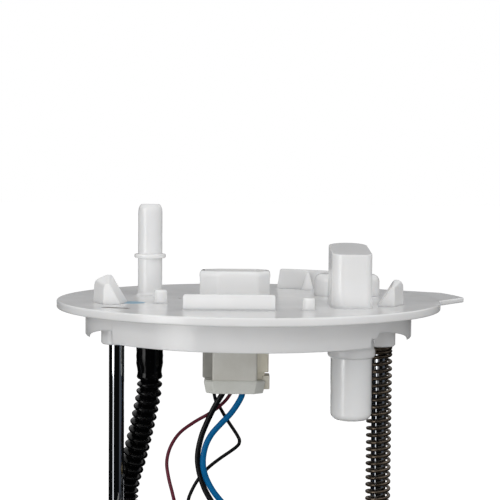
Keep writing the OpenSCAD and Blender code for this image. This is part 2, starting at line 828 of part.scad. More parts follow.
sender_w = 24;
rail_w = 1.8;
sender_foot = pivot_z - 14;
module reservoir_cup() {
    color(smoke)
    difference() {
        union() {
            difference() {
                translate([0, 0, floor_z]) linear_extrude(rim_z - floor_z) cup_plan(cup_r, flat_y);
                translate([0, 0, floor_top])
                    linear_extrude(cup_h) cup_plan(cup_r - cup_wall, flat_y + cup_wall);
            }
            for (a = [45:90:359])
                rotate([0, 0, a])
                    translate([cup_r - 16, 0, base_z]) linear_extrude(foot_h + eps) rounded(12, 6, 2);
            for (x = [-1, 1]) translate([x * rod_x, rod_y, 0]) rod(sleeve_r, sleeve_end, sleeve_top);
            for (side = [0, 1])
                mirror([side, 0, 0])
                    translate([rod_x - rod_d / 3, rod_y - sleeve_web / 2, sleeve_end])
                        cube([
                            cup_r - cup_wall / 2 - rod_x + rod_d / 3, sleeve_web, rim_z - sleeve_end
                        ]);
            for (a = snap_angles)
                rotate([0, 0, a])
                    translate([cup_r - 0.5, snap_w / 2 - 0.3, 0])
                        rotate([90, 0, 0])
                            linear_extrude(snap_w - 0.6)
                                polygon([[0, snap_z - 2.4], [1.6, snap_z - 2.4], [0.5, snap_z]]);
            for (x = [-1, 1])
                translate([sender_x + x * (sender_w / 2 + slip_gap + rail_w / 2), flat_y, 0])
                    translate([-rail_w / 2, -4, sender_foot - 2])
                        cube([rail_w, 4.5, 40]);
            translate([sender_x - sender_w / 2 - slip_gap - rail_w, flat_y - 4, sender_foot - 2])
                cube([sender_w + 2 * slip_gap + 2 * rail_w, 4.5, 2]);
            for (a = [20:40:359])
                if (abs(a - 260) > 25)
                    rotate([0, 0, a])
                        translate([cup_r - cup_wall - 1.5, -0.75, floor_top - 0.5])
                            cube([2, 1.5, 40]);
        }
        for (x = [-1, 1])
            translate([x * rod_x, rod_y, 0]) {
                rod(rod_d / 2 + run_gap, sleeve_end - 1, sleeve_top + 1);
                rod(rod_d / 2 + clip_lip + run_gap, rod_end - 1, sleeve_end);
            }
        translate([foot_valve[0], foot_valve[1], 0]) {
            rod(2, floor_z - 1, floor_top + 1);
            for (a = [0:60:359])
                rotate([0, 0, a]) translate([4.8, 0, 0]) rod(1.3, floor_z - 1, floor_top + 1);
        }
    }
}

holder_wall = 1.8;
isolator_t = 2.5;
holder_r = can_r + isolator_t + slip_gap;
holder_drop = 26;
intake = [20, 15];
intake_at = [35, -22];
module reservoir_cover() {
    color([0.16, 0.17, 0.18])
    difference() {
        union() {
            translate([0, 0, rim_z]) linear_extrude(cover_t) cup_plan(cover_r, flat_y - cover_wall);
            difference() {
                translate([0, 0, rim_z - cover_rim])
                    linear_extrude(cover_rim + eps) cup_plan(cover_r, flat_y - cover_wall);
                translate([0, 0, rim_z - cover_rim - 1])
                    linear_extrude(cover_rim + 1)
                        cup_plan(cup_r + cover_gap, flat_y - cover_gap);
            }
            translate([pump[0], pump[1], 0]) {
                tube(holder_r + holder_wall, holder_r, rim_z - holder_drop, rim_z + eps);
                tube(can_r + 2.4, can_r + 0.6, cover_z - eps, cover_z + 1.4);
            }
            for (a = [0:45:359])
                translate([pump[0], pump[1], cover_z - eps])
                    rotate([0, 0, a]) translate([can_r + 1.5, -0.7, 0]) cube([9, 1.4, 1.2]);
            translate([intake_at[0], intake_at[1], cover_z - eps])
                linear_extrude(1.2)
                    difference() {
                        rounded(intake[0] + 3, intake[1] + 3, 4);
                        rounded(intake[0], intake[1], 2.5);
                    }
        }
        translate([pump[0], pump[1], 0]) rod(can_r + 0.6, rim_z - 1, cover_z + 3);
        for (x = [-1, 1])
            translate([x * rod_x, rod_y, 0]) rod(sleeve_r + slip_gap, rim_z - cover_rim, cover_z + 2);
        translate([regulator[0], regulator[1], 0]) rod(3 + slip_gap, rim_z - 1, cover_z + 2);
        translate([intake_at[0], intake_at[1], rim_z - 1])
            linear_extrude(cover_t + 4) rounded(intake[0], intake[1], 2.5);
        for (a = snap_angles)
            rotate([0, 0, a])
                translate([cup_r - 1, -snap_w / 2, snap_z - 2.8]) cube([4, snap_w, 3.2]);
        for (a = [30:60:359])
            translate([pump[0], pump[1], 0])
                rotate([0, 0, a])
                    translate([holder_r - 1, -1.2, rim_z - holder_drop - 1])
                        cube([holder_wall + 2, 2.4, holder_drop - 5]);
    }
}

module pump_isolator() {
    color(rubber)
    translate([pump[0], pump[1], 0])
        difference() {
            tube(holder_r - slip_gap, can_r + press_gap, rim_z - holder_drop + 1, rim_z - 0.3);
            for (z = [6, 12, 18])
                translate([0, 0, rim_z - z])
                    tube(holder_r + 1, holder_r - slip_gap - 0.8, 0, 1.6);
        }
}

// Pump

can_top = cover_z - 7;
can_low = can_top - can_l;
lip = 2;
inner_r = can_r - can_wall;
plate_r = inner_r - press_gap;
base_t = 6;
base_top = can_low + can_wall + base_t;
impeller_t = 3.8;
impeller_low = base_top + 0.1;
plate_low = impeller_low + impeller_t + 0.1;
plate_t = 5;
plate_top = plate_low + plate_t;
cap_low = can_top - can_wall - 9;
cap_top = can_top + 6;
comm_top = cap_low - 2;
comm_t = 3;
arm_top = comm_top - comm_t - 1;
arm_low = plate_top + 5;
shaft_r = shaft_d / 2;
brush_w = 5;
brush_out = 6.4;

module pump_can() {
    color(zinc)
    translate([pump[0], pump[1], 0])
        rotate_extrude($fn = 96) {
            difference() {
                translate([0, can_low]) square([can_r, can_l]);
                translate([-1, can_low + can_wall]) square([inner_r + 1, can_l - 2 * can_wall]);
                translate([-1, can_low - 1]) square([can_r - lip + 1, can_l + 2]);
                for (z = [can_low, can_top])
                    translate([can_r, z]) rotate(45) square(0.8, center = true);
            }
        }
}

// Top cap: bearing, brush pockets, outlet with its valve seat, blade slots
nipple_up = 5;
port_r = 4;
check_bore = 2.6;
seat_bore = 1.6;
check_seat_z = cap_top - 6;
module pump_cap() {
    off = port - pump;
    color([0.10, 0.10, 0.11])
    translate([pump[0], pump[1], 0])
        difference() {
            union() {
                rod(plate_r, cap_low, can_top - can_wall);
                rotate_extrude($fn = 96)
                    polygon([
                        [0, can_top - 2], [can_r - lip - 0.1, can_top - 2],
                        [can_r - lip - 0.1, cap_top - 2.5], [can_r - lip - 2.6, cap_top], [0, cap_top]
                    ]);
                translate([off[0], off[1], 0]) {
                    rod(port_r, cap_low, cap_top + nipple_up);
                    rod(port_r + 1.6, cap_top - 1, cap_top + 0.4);
                }
            }
            rod(shaft_r + run_gap, cap_low - 1, can_top - 1);
            rod(7, cap_low - 1, cap_low + 0.5);
            translate([off[0], off[1], 0]) {
                rod(check_bore, check_seat_z, cap_top + nipple_up + 1);
                rod(seat_bore, cap_low - 1, check_seat_z + 1);
            }
            for (a = [-60, 120])
                rotate([0, 0, a])
                    translate([brush_out - brush_w / 2 - run_gap, -brush_w / 2 - run_gap, cap_low - 1])
                        cube([brush_w + 2 * run_gap, brush_w + 2 * run_gap, 15]);
            for (x = [-1, 1])
                translate([pump_conn[0] - pump[0] + x * 2.5 - 1.5, pump_conn[1] - pump[1] - 0.4,
                    cap_top - 5])
                    cube([3, 0.8, 10]);
        }
}

module pump_base() {
    color([0.12, 0.12, 0.13])
    translate([pump[0], pump[1], 0])
        difference() {
            union() {
                rod(plate_r, can_low + can_wall, base_top);
                rod(can_r - lip - 0.1, can_low - 1.5, base_top);
                translate([-6, 0, 0]) rod(4, can_low - 8, can_low);
            }
            rod(shaft_r + run_gap, base_top - 4, base_top + 1);
            translate([0, 0, base_top - 1.2])
                rotate([0, 0, 200])
                    rotate_extrude(angle = 300)
                        translate([12.5, 0]) square([3.4, 3]);
            translate([-6, 0, 0]) rod(2.6, can_low - 9, base_top - 3);
            translate([-6, 0, base_top - 4]) rotate([0, 0, 200]) cube([9.5, 2.6, 6]);
        }
}

impeller_r = 16;
module impeller() {
    vane_gap = 360 / vane_count;
    color([0.45, 0.32, 0.18])
    translate([pump[0], pump[1], 0])
        difference() {
            rod(impeller_r, impeller_low, impeller_low + impeller_t);
            rod(shaft_r + press_gap, impeller_low - 1, impeller_low + impeller_t + 1);
            for (i = [0:vane_count - 1])
                rotate([0, 0, i * vane_gap])
                    for (z = [impeller_low - 1, impeller_low + impeller_t - 1.5])
                        translate([12.8, -0.8, z]) cube([2.4, 1.6, 2.5]);
            for (a = [0:72:359])
                rotate([0, 0, a]) translate([7.5, 0, 0])
                    rod(1.5, impeller_low - 1, impeller_low + impeller_t + 1);
        }
}

module impeller_plate() {
    color([0.12, 0.12, 0.13])
    translate([pump[0], pump[1], 0])
        difference() {
            union() {
                rod(plate_r, plate_low, plate_top);
                tube(plate_r, impeller_r + 0.3, base_top, plate_low + 1);
            }
            rod(shaft_r + run_gap, plate_low - 1, plate_top + 1);
            translate([0, 0, plate_low - 1])
                rotate([0, 0, 200])
                    rotate_extrude(angle = 300)
                        translate([12.5, 0]) square([3.4, 2.2]);
            rotate([0, 0, 130]) translate([14, 0, 0]) rod(1.4, plate_low - 1, plate_top + 1);
        }
}

module rotor_shaft() {
    color(steel)
    translate([pump[0], pump[1], 0]) rod(shaft_r, base_top - 3.8, can_top - 1.4);
}

armature_slots = 8;
module armature() {
    color([0.35, 0.36, 0.38])
    translate([pump[0], pump[1], arm_low])
        linear_extrude(arm_top - arm_low)
            difference() {
                circle(armature_r);
                circle(shaft_r);
                for (i = [0:armature_slots - 1])
                    rotate(i * 360 / armature_slots) {
                        translate([armature_r - 2, -0.9]) square([3, 1.8]);
                        translate([armature_r - 4, 0]) circle(2.2);
                    }
            }
}

module windings() {
    color(copper)
    translate([pump[0], pump[1], 0]) {
        tube(armature_r - 2, shaft_r + 1, arm_low - 3.5, arm_low);
        tube(armature_r - 2, shaft_r + 1, arm_top, comm_top - comm_t);
        for (i = [0:armature_slots - 1])
            rotate([0, 0, i * 360 / armature_slots])
                translate([armature_r - 4, 0, 0]) rod(2.1, arm_low - 1, arm_top + 0.5);
    }
}

module commutator() {
    color([0.16, 0.16, 0.17])
    translate([pump[0], pump[1], 0])
        difference() {
            tube(9.6, shaft_r, comm_top - comm_t, comm_top);
            for (i = [0:7])
                rotate([0, 0, i * 45 + 22.5])
                    translate([3, -0.3, comm_top - 1.5]) cube([8, 0.6, 3]);
        }
}

magnet_t = 3.6;
module magnets() {
    color([0.22, 0.22, 0.23])
    translate([pump[0], pump[1], arm_low - 1])
        linear_extrude(arm_top - arm_low + 2)
            difference() {
                circle(inner_r - press_gap);
                circle(inner_r - magnet_t);
                for (s = [0, 180])
                    rotate(s) polygon([[0, 0], polar(30, 25), polar(30, -25)]);
            }
}

module brushes() {
    color([0.14, 0.14, 0.15])
    translate([pump[0], pump[1], 0])
        for (a = [-60, 120])
            rotate([0, 0, a])
                translate([brush_out - brush_w / 2, -brush_w / 2, comm_top + run_gap])
                    cube([brush_w, brush_w, 9]);
}

module brush_springs() {
    color(steel)
    translate([pump[0], pump[1], 0])
        for (a = [-60, 120])
            rotate([0, 0, a])
                translate([brush_out, 0, 0])
                    coil(1.7, 0.25, comm_top + run_gap + 9, cap_low + 14, 3, 1, 8, 5);
}

module pump_blades() {
    color(tin)
    for (x = [-1, 1])
        translate([pump_conn[0] + x * 2.5 - 1.5, pump_conn[1] - 0.4, cap_top - 5])
            cube([3, 0.8, 5 + 7]);
}

plug_low = cover_z + 1.8;
module pump_plug() {
    color([0.88, 0.87, 0.84])
    translate([pump_conn[0], pump_conn[1], 0])
        difference() {
            union() {
                translate([0, 0, plug_low]) linear_extrude(pump_plug_top - plug_low) rounded(12.5, 8, 1);
                translate([-2, -5.4, plug_low + 1]) cube([4, 1.6, 5]);
            }
            for (x = [-1, 1])
                translate([x * 2.5 - 1.5 - slip_gap, -0.4 - slip_gap, plug_low - 1])
                    cube([3 + 2 * slip_gap, 0.8 + 2 * slip_gap, 8]);
        }
}

// Check valve in the pump's outlet
check_r = 2.1;
check_l = 4;
retainer_z = cap_top + nipple_up - 1.2;
module check_valve() {
    color([0.75, 0.30, 0.12])
    translate([port[0], port[1], 0]) {
        rod(check_r, check_seat_z + run_gap, check_seat_z + 1.6);
        rod(1, check_seat_z + 1.5, check_seat_z + check_l);
    }
}
module check_spring() {
    color(steel)
    translate([port[0], port[1], 0])
        coil(1.5, 0.2, check_seat_z + 1.62, retainer_z, 5, 1, 8, 5);
}
module check_retainer() {
    color(tin)
    translate([port[0], port[1], 0]) {
        tube(check_bore - press_gap, 2.1, retainer_z, retainer_z + 1);
        difference() {
            translate([-2.4, -0.7, retainer_z]) cube([4.8, 1.4, 1]);
            rod(0.4, retainer_z - 1, retainer_z + 2);
        }
    }
}

// Strainer
sock_l = 54;
sock_w = 34;
sock_t = 5;
sock_top = floor_top + sock_t;
inlet = [pump[0] - 6, pump[1]];
module strainer_neck() {
    color([0.15, 0.15, 0.16])
    translate([inlet[0], inlet[1], 0])
        difference() {
            union() {
                rod(5.8, sock_top, can_low - 2);
                rod(8, sock_top, sock_top + 1);
            }
            rod(4 + press_gap, sock_top + 1, can_low);
            rod(2.6, sock_top - 1, can_low);
        }
}
module strainer() {
    edge = 2.4;
    color([0.80, 0.80, 0.76])
    translate([inlet[0] - 6, inlet[1] - 2, floor_top]) {
        linear_extrude(sock_t) rounded(sock_l - 2 * edge, sock_w - 2 * edge, 8);
        translate([0, 0, edge - 1]) linear_extrude(sock_t - 2 * edge + 2) rounded(sock_l, sock_w, 10);
    }
}

// Outlet manifold, regulator, return tube and jet pump
manifold_r = 7;
manifold_low = cap_top + 0.6;
manifold_top = port_z + 6;
spigot_r = 3.2;
socket_r = 5.8;
pocket_r = 9.6;
pocket_bore = 8.1;
pocket_low = cover_z + 3;
pocket_top = port_z + 5.5;
gallery_r = 4;
module outlet_manifold() {
    color([0.13, 0.13, 0.14])
    difference() {
        union() {
            translate([port[0], port[1], 0]) {
                rod(manifold_r, manifold_low, manifold_top - 1.5);
                translate([0, 0, manifold_top - 1.5])
                    cylinder(r1 = manifold_r, r2 = manifold_r - 1.5, h = 1.5);
            }
            translate([spigot_start + 2, port[1], port_z])
                rotate([0, -90, 0]) mirror([0, 0, 1]) hose_nipple(spigot_r, spigot_l + 2);
            translate([port[0], port[1], port_z])
                rotate([0, 90, 0]) cylinder(r = gallery_r, h = regulator[0] - port[0]);
            translate([regulator[0], regulator[1], 0]) {
                rod(pocket_r, pocket_low, pocket_top);
                rod(2, pocket_low - 8, pocket_low + 1);
            }
            translate([port[0] + 3, port[1] - 1, port_z - 7.4])
                cube([regulator[0] - port[0] - 6, 2, 7]);
        }
        translate([port[0], port[1], 0]) {
            rod(socket_r, manifold_low - 1, cap_top + 3.4);
            rod(port_r + slip_gap, manifold_low, port_z);
        }
        translate([spigot_start - spigot_l - 1, port[1], port_z])
            rotate([0, 90, 0])
                cylinder(r = 2.2, h = regulator[0] - spigot_start + spigot_l + 1);
        translate([regulator[0], regulator[1], 0]) {
            rod(pocket_bore, pocket_low + 2, pocket_top + 1);
            rod(1.2, pocket_low - 9, pocket_low + 3);
        }
    }
}

module manifold_seal() {
    seal_r = (socket_r - port_r) / 2;
    color(rubber)
    translate([port[0], port[1], cap_top + 2.4])
        rotate_extrude() translate([port_r + seal_r, 0]) circle(seal_r - press_gap, $fn = 24);
}

module pressure_regulator() {
    z = pocket_top;
    color(zinc)
    translate([regulator[0], regulator[1], 0])
        difference() {
            union() {
                rod(pocket_bore - press_gap, pocket_low + 2.2, pocket_top);
                rod(pocket_r - 0.2, z, z + 2.2);
                rotate_extrude()
                    polygon([
                        [0, z + 2], [7.8, z + 2], [7.8, z + 4], [7, z + 5], [3.4, z + 5.4],
                        [3, z + 6], [0, z + 6]
                    ]);
            }
            rod(1.4, z + 3.5, z + 7);
            translate([-30, 0, port_z]) rotate([0, 90, 0]) cylinder(r = 2.2, h = 30);
            rod(1.2, pocket_low, port_z);
        }
}

// Wire clip: a split band with a lip over the regulator and one under the pocket's rim
module regulator_clip() {
    r = pocket_r + press_gap;
    z = pocket_top;
    low = port_z + gallery_r + slip_gap;
    color(steel)
    translate([regulator[0], regulator[1], 0])
        rotate([0, 0, 35])
            rotate_extrude(angle = 290) {
                translate([r, low]) square([0.8, z + 3.2 - low]);
                translate([8, z + 2.2 + press_gap]) square([r - 8 + 0.8, 0.8]);
            }
}

jet_top = floor_top + 14;
module return_tube() {
    color([0.75, 0.75, 0.72])
    translate([regulator[0], regulator[1], 0])
        tube(3, 2 + press_gap, jet_top - 5, pocket_low - 0.3);
}

module jet_pump() {
    venturi_z = floor_top + 5;
    color([0.13, 0.13, 0.14])
    translate([regulator[0], regulator[1], 0])
        difference() {
            union() {
                rod(4.6, venturi_z, jet_top);
                translate([0, -8, venturi_z])
                    rotate([-90, 0, 0]) {
                        cylinder(r = 4, h = 10);
                        translate([0, 0, 10]) cylinder(r1 = 4, r2 = 2.6, h = 5);
                        translate([0, 0, 15]) cylinder(r = 2.6, h = 6);
                    }
                translate([-3, -7, floor_top]) cube([6, 12, 4]);
            }
            rod(3 + press_gap, jet_top - 5 - press_gap, jet_top + 1);
            rod(1, venturi_z, jet_top);
            translate([0, -9, venturi_z]) rotate([-90, 0, 0]) cylinder(r = 1.6, h = 30);
        }
}

module base_valve() {
    color([0.70, 0.28, 0.12])
    translate([foot_valve[0], foot_valve[1], 0])
        rotate_extrude()
            polygon([
                [0, floor_z - 2.4], [1.2, floor_z - 2.4], [2.5, floor_z - 0.02],
                [2 - press_gap, floor_z - 0.02], [2 - press_gap, floor_top + 0.02],
                [7.5, floor_top + 0.02], [7.3, floor_top + 0.8], [2, floor_top + 1.6],
                [0, floor_top + 1.8]
            ]);
}

// Level sender

housing_back = flat_y - slip_gap;
housing_front = -56.8;
stub_r = 2.5;
hub_t = 4;
hub_back = housing_front - 0.6;
hub_front = hub_back - hub_t;
card_t = 0.8;
arm_h = 6.8;
lip_t = 0.3;
stop_x = 12;
stop_top = pivot_z - (stop_x * sin(arm_rest) + arm_h / 2) / cos(arm_rest) - run_gap;
module sender_housing() {
    w = sender_w;
    color([0.90, 0.89, 0.85])
    difference() {
        union() {
            translate([sender_x - w / 2, housing_front, sender_foot])
                cube([w, housing_back - housing_front, rim_z - cover_rim - 0.5 - sender_foot]);
            translate([sender_x - w / 2, housing_front, rim_z - cover_rim - 1])
                cube([w, flat_y - cover_wall - slip_gap - housing_front, cover_rim + cover_t + 1.8]);
            translate([sender_x - w / 2, housing_front, cover_z + 0.3])
                cube([w, head_y - housing_front, 7]);
            translate([sender_x, hub_front - 1.2, pivot_z])
                rotate([-90, 0, 0]) cylinder(r = stub_r, h = hub_t + 3);
            translate([sender_x, hub_back + run_gap, pivot_z])
                rotate([-90, 0, 0]) cylinder(r = 5, h = 1);
            for (x = [-1, 1])
                translate([sender_x + x * (w / 2 - 1) - 1, housing_front - lip_t, pivot_z + 8])
                    cube([2, lip_t + 0.2, 20]);
            translate([sender_x + stop_x - 8, hub_front, sender_foot])
                cube([8, 5, stop_top - sender_foot]);
        }
        translate([sender_x - 8.5, housing_front - 1, pivot_z + 8])
            cube([17, card_t + 1 + press_gap, 16]);
        for (x = [-4.5, 4.5])
            translate([sender_x + x, head_y + 1, cover_z + 3.4])
                rotate([90, 0, 0]) cylinder(r = 0.75, h = 4.5);
        for (x = [-8:4:8])
            translate([sender_x + x - 1.2, housing_back - 1.6, sender_foot + 3])
                cube([2.4, 3, 26]);
    }
}

module resistor_card() {
    color([0.92, 0.92, 0.90])
    difference() {
        translate([sender_x - 8.5 + press_gap, housing_front, pivot_z + 8 + press_gap])
            cube([17 - 2 * press_gap, card_t, 16 - 2 * press_gap]);
        for (x = [-6.5, 6.5])
            translate([sender_x + x, housing_front - 1, pivot_z + 21.5])
                rotate([-90, 0, 0]) cylinder(r = 0.7, h = 3);
    }
}

// What swings is drawn level about the pivot and turned to its lower stop
module at_pivot() {
    translate([sender_x, 0, pivot_z]) rotate([0, arm_rest, 0]) children();
}

rod_r = arm_wire / 2;
rod_plane = hub_front - rod_r - press_gap;
hub_r = 6;
module wiper_arm() {
    color([0.12, 0.12, 0.13])
    at_pivot()
        difference() {
            union() {
                translate([0, hub_back, 0]) rotate([90, 0, 0]) cylinder(r = hub_r, h = hub_t);
                translate([0, hub_front, -arm_h / 2]) cube([24, hub_t, arm_h]);
                translate([-2.6, hub_front, 0]) cube([5.2, 2, 17]);
                for (x = [10, 19], z = [-1, 1])
                    translate([x, rod_plane - rod_r, z * (rod_r + 0.65) - 0.6])
                        cube([2.6, hub_front - rod_plane + rod_r + 0.2, 1.2]);
            }
            translate([0, hub_back + 1, 0])
                rotate([90, 0, 0]) cylinder(r = stub_r + run_gap, h = hub_t + 5);
            translate([5, hub_back + 1, 0])
                rotate([90, 0, 0]) cylinder(r = rod_r + press_gap, h = hub_t + 5);
        }
}

module wiper_contacts() {
    color([0.80, 0.72, 0.45])
    at_pivot() {
        for (x = [-2, 0.8])
            translate([x, hub_front + 2, 9]) cube([1.2, 0.3, 6.5]);
        translate([-2, hub_front + 2, 14.6])
            cube([4, housing_front - lip_t - run_gap - hub_front - 2, 1.6]);
    }
}

// Float rod: hooked into the hub, then straight, bent once towards the float
crank = 14;
crank_at = 40;
hook = 5;
module float_rod() {
    far = arm_l - crank_at + float_l - 6;
    route = [
        [hook, hub_t + rod_r - 0.3, 0], [hook, 2, 0], [hook + 0.3, 0.9, 0], [hook + 0.9, 0.3, 0],
        [hook + 2, 0, 0], [crank_at, 0, 0], [crank_at + far * cos(crank), 0, far * sin(crank)]
    ];
    color(steel)
    at_pivot() sweep([for (q = route) [q + [0, rod_plane, 0], rod_r]], [0, 0, 1], 16);
}

// Frame at the crank's end, X along the outer stretch
module float_frame() {
    translate([crank_at, rod_plane, 0]) rotate([0, -crank, 0]) children();
}

module level_float() {
    color([0.20, 0.19, 0.18])
    at_pivot() float_frame()
        translate([arm_l - crank_at, 0, 0])
            difference() {
                rotate([0, 90, 0]) {
                    linear_extrude(float_l) rounded(float_w - 2, float_w - 2, 2.5);
                    translate([0, 0, 1]) linear_extrude(float_l - 2) rounded(float_w, float_w, 3);
                }
                rotate([0, 90, 0]) translate([0, 0, -1]) cylinder(r = rod_r + press_gap, h = float_l - 4);
            }
}

flange();
contact_blades();
harness_plug();
plug_lock();
valve_housing();
valve_seat();
vent_float();
vent_spring();
guide_rod_left();
guide_rod_right();
rod_clips();
main_spring();
outlet_hose();
blue_wire();
black_wire();
maroon_wire();
thin_black_wire();
reservoir_cup();
reservoir_cover();
pump_isolator();
pump_can();
pump_cap();
pump_base();
impeller();
impeller_plate();
rotor_shaft();
armature();
windings();
commutator();
magnets();
brushes();
brush_springs();
pump_blades();
pump_plug();
check_valve();
check_spring();
check_retainer();
strainer_neck();
strainer();
outlet_manifold();
manifold_seal();
pressure_regulator();
regulator_clip();
return_tube();
jet_pump();
base_valve();
sender_housing();
resistor_card();
wiper_arm();
wiper_contacts();
float_rod();
level_float();
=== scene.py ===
"""Looks of an in-tank fuel pump module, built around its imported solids.

Sizes are in millimetres in the solids' own frame: the origin is on the flange's axis at its
underside, +Z points out of the tank, X runs through the guide rods and -Y faces the viewer.
"""

from __future__ import annotations

import logging
import math
from collections.abc import Callable, Sequence
from dataclasses import dataclass, field, replace
from enum import Enum

import bmesh
import bpy
from mathutils import Matrix, Vector

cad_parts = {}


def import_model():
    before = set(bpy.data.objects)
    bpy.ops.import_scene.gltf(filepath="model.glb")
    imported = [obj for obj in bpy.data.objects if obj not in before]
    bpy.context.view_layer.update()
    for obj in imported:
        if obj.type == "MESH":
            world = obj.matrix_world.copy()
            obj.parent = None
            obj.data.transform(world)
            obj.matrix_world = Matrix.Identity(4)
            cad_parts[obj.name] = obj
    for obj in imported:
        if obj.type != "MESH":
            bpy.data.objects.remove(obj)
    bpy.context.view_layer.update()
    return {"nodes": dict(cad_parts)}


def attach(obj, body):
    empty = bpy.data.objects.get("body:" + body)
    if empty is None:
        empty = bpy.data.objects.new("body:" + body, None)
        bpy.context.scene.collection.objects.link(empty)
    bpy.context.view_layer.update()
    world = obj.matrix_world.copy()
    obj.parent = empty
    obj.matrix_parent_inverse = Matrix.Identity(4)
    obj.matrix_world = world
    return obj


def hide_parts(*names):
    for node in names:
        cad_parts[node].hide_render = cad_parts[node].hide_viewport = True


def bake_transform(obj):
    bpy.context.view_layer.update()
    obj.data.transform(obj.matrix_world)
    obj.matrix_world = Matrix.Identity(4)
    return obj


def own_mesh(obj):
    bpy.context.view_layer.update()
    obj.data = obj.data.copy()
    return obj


LOG = logging.getLogger("fuel_pump_module")
MM = 0.001

Flat = tuple[float, float]
Spot = tuple[float, float, float]
Colour = tuple[float, float, float, float]
Piece = bpy.types.Object
Tree = bpy.types.NodeTree
Socket = bpy.types.NodeSocket
EdgeTest = Callable[[Vector, Vector], bool]

# Places that several sub-assemblies share, seen from above
OUTLET_AT: Flat = (-38.8, 11.0)
PLUG_AT: Flat = (-4.8, 0.0)
VALVE_AT: Flat = (37.7, -25.0)
SPRUNG_ROD_AT: Flat = (51.2, 5.0)

# A noise keeps nearly all its area between these two values
NOISE_RANGE: Flat = (0.32, 0.68)
# A wave texture repeats every so many metres divided by its scale
WAVE_REPEAT = 0.314159
# How far red, green and blue light travel inside a milky plastic, against each other
MILKY_REACH: Spot = (1.0, 0.97, 0.93)
COAT_ROUGHNESS = 0.08


class Body(Enum):
    """The rigid bodies that new pieces ride on."""

    FLANGE = "flange_assembly"
    RESERVOIR = "reservoir"
    VENT = "vent_float"


class Direction(Enum):
    """The axis that a banded surface changes along."""

    X = "X"
    Y = "Y"
    Z = "Z"


# Shader tools


def srgb(colour: str) -> Colour:
    """Turns a hex colour as painted into the linear values that a shader takes.

    Args:
        colour: A hash and six hex digits.

    Returns:
        Linear red, green, blue and full opacity.
    """
    parts = [int(colour.lstrip("#")[i : i + 2], 16) / 255 for i in (0, 2, 4)]
    linear = [c / 12.92 if c <= 0.04045 else ((c + 0.055) / 1.055) ** 2.4 for c in parts]
    return (linear[0], linear[1], linear[2], 1.0)


def blank_tree(owner: bpy.types.Material | bpy.types.World) -> Tree:
    """Empties the node tree of a material or world and returns it.

    Args:
        owner: The material or world.

    Returns:
        Its node tree, empty.
    """
    owner.use_nodes = True
    owner.node_tree.nodes.clear()
    return owner.node_tree


def add_node(
    tree: Tree, kind: str, settings: dict | None = None, links: dict | None = None
) -> bpy.types.Node:
    """Adds one shader node.

    Args:
        tree: The material's or world's node tree.
        kind: The node's type.
        settings: Values by attribute name, socket name or socket number.
        links: Output sockets by the name or number of the input that they feed.

    Returns:
        The new node.
    """
    node = tree.nodes.new(kind)
    for key, value in (settings or {}).items():
        if isinstance(key, int) or key in node.inputs:
            node.inputs[key].default_value = value
        else:
            setattr(node, key, value)
    for key, source in (links or {}).items():
        tree.links.new(source, node.inputs[key])
    return node


def noise_of(size_mm: float, detail: float) -> dict:
    """Settings of a noise with features of a real size and octaves of finer noise."""
    return {"Scale": 1 / (size_mm * MM), "Detail": detail, "Roughness": 0.55}


def bands_of(spacing_mm: float, along: Direction) -> dict:
    """Settings of a wave whose bands lie a real distance apart."""
    scale = WAVE_REPEAT / (spacing_mm * MM)
    return {"wave_type": "BANDS", "bands_direction": along.value, "Scale": scale}


def range_of(source: Flat, result: Flat) -> dict:
    """Settings that turn one range of a value into another."""
    return dict(zip(("From Min", "From Max", "To Min", "To Max"), (*source, *result)))


# Finishes


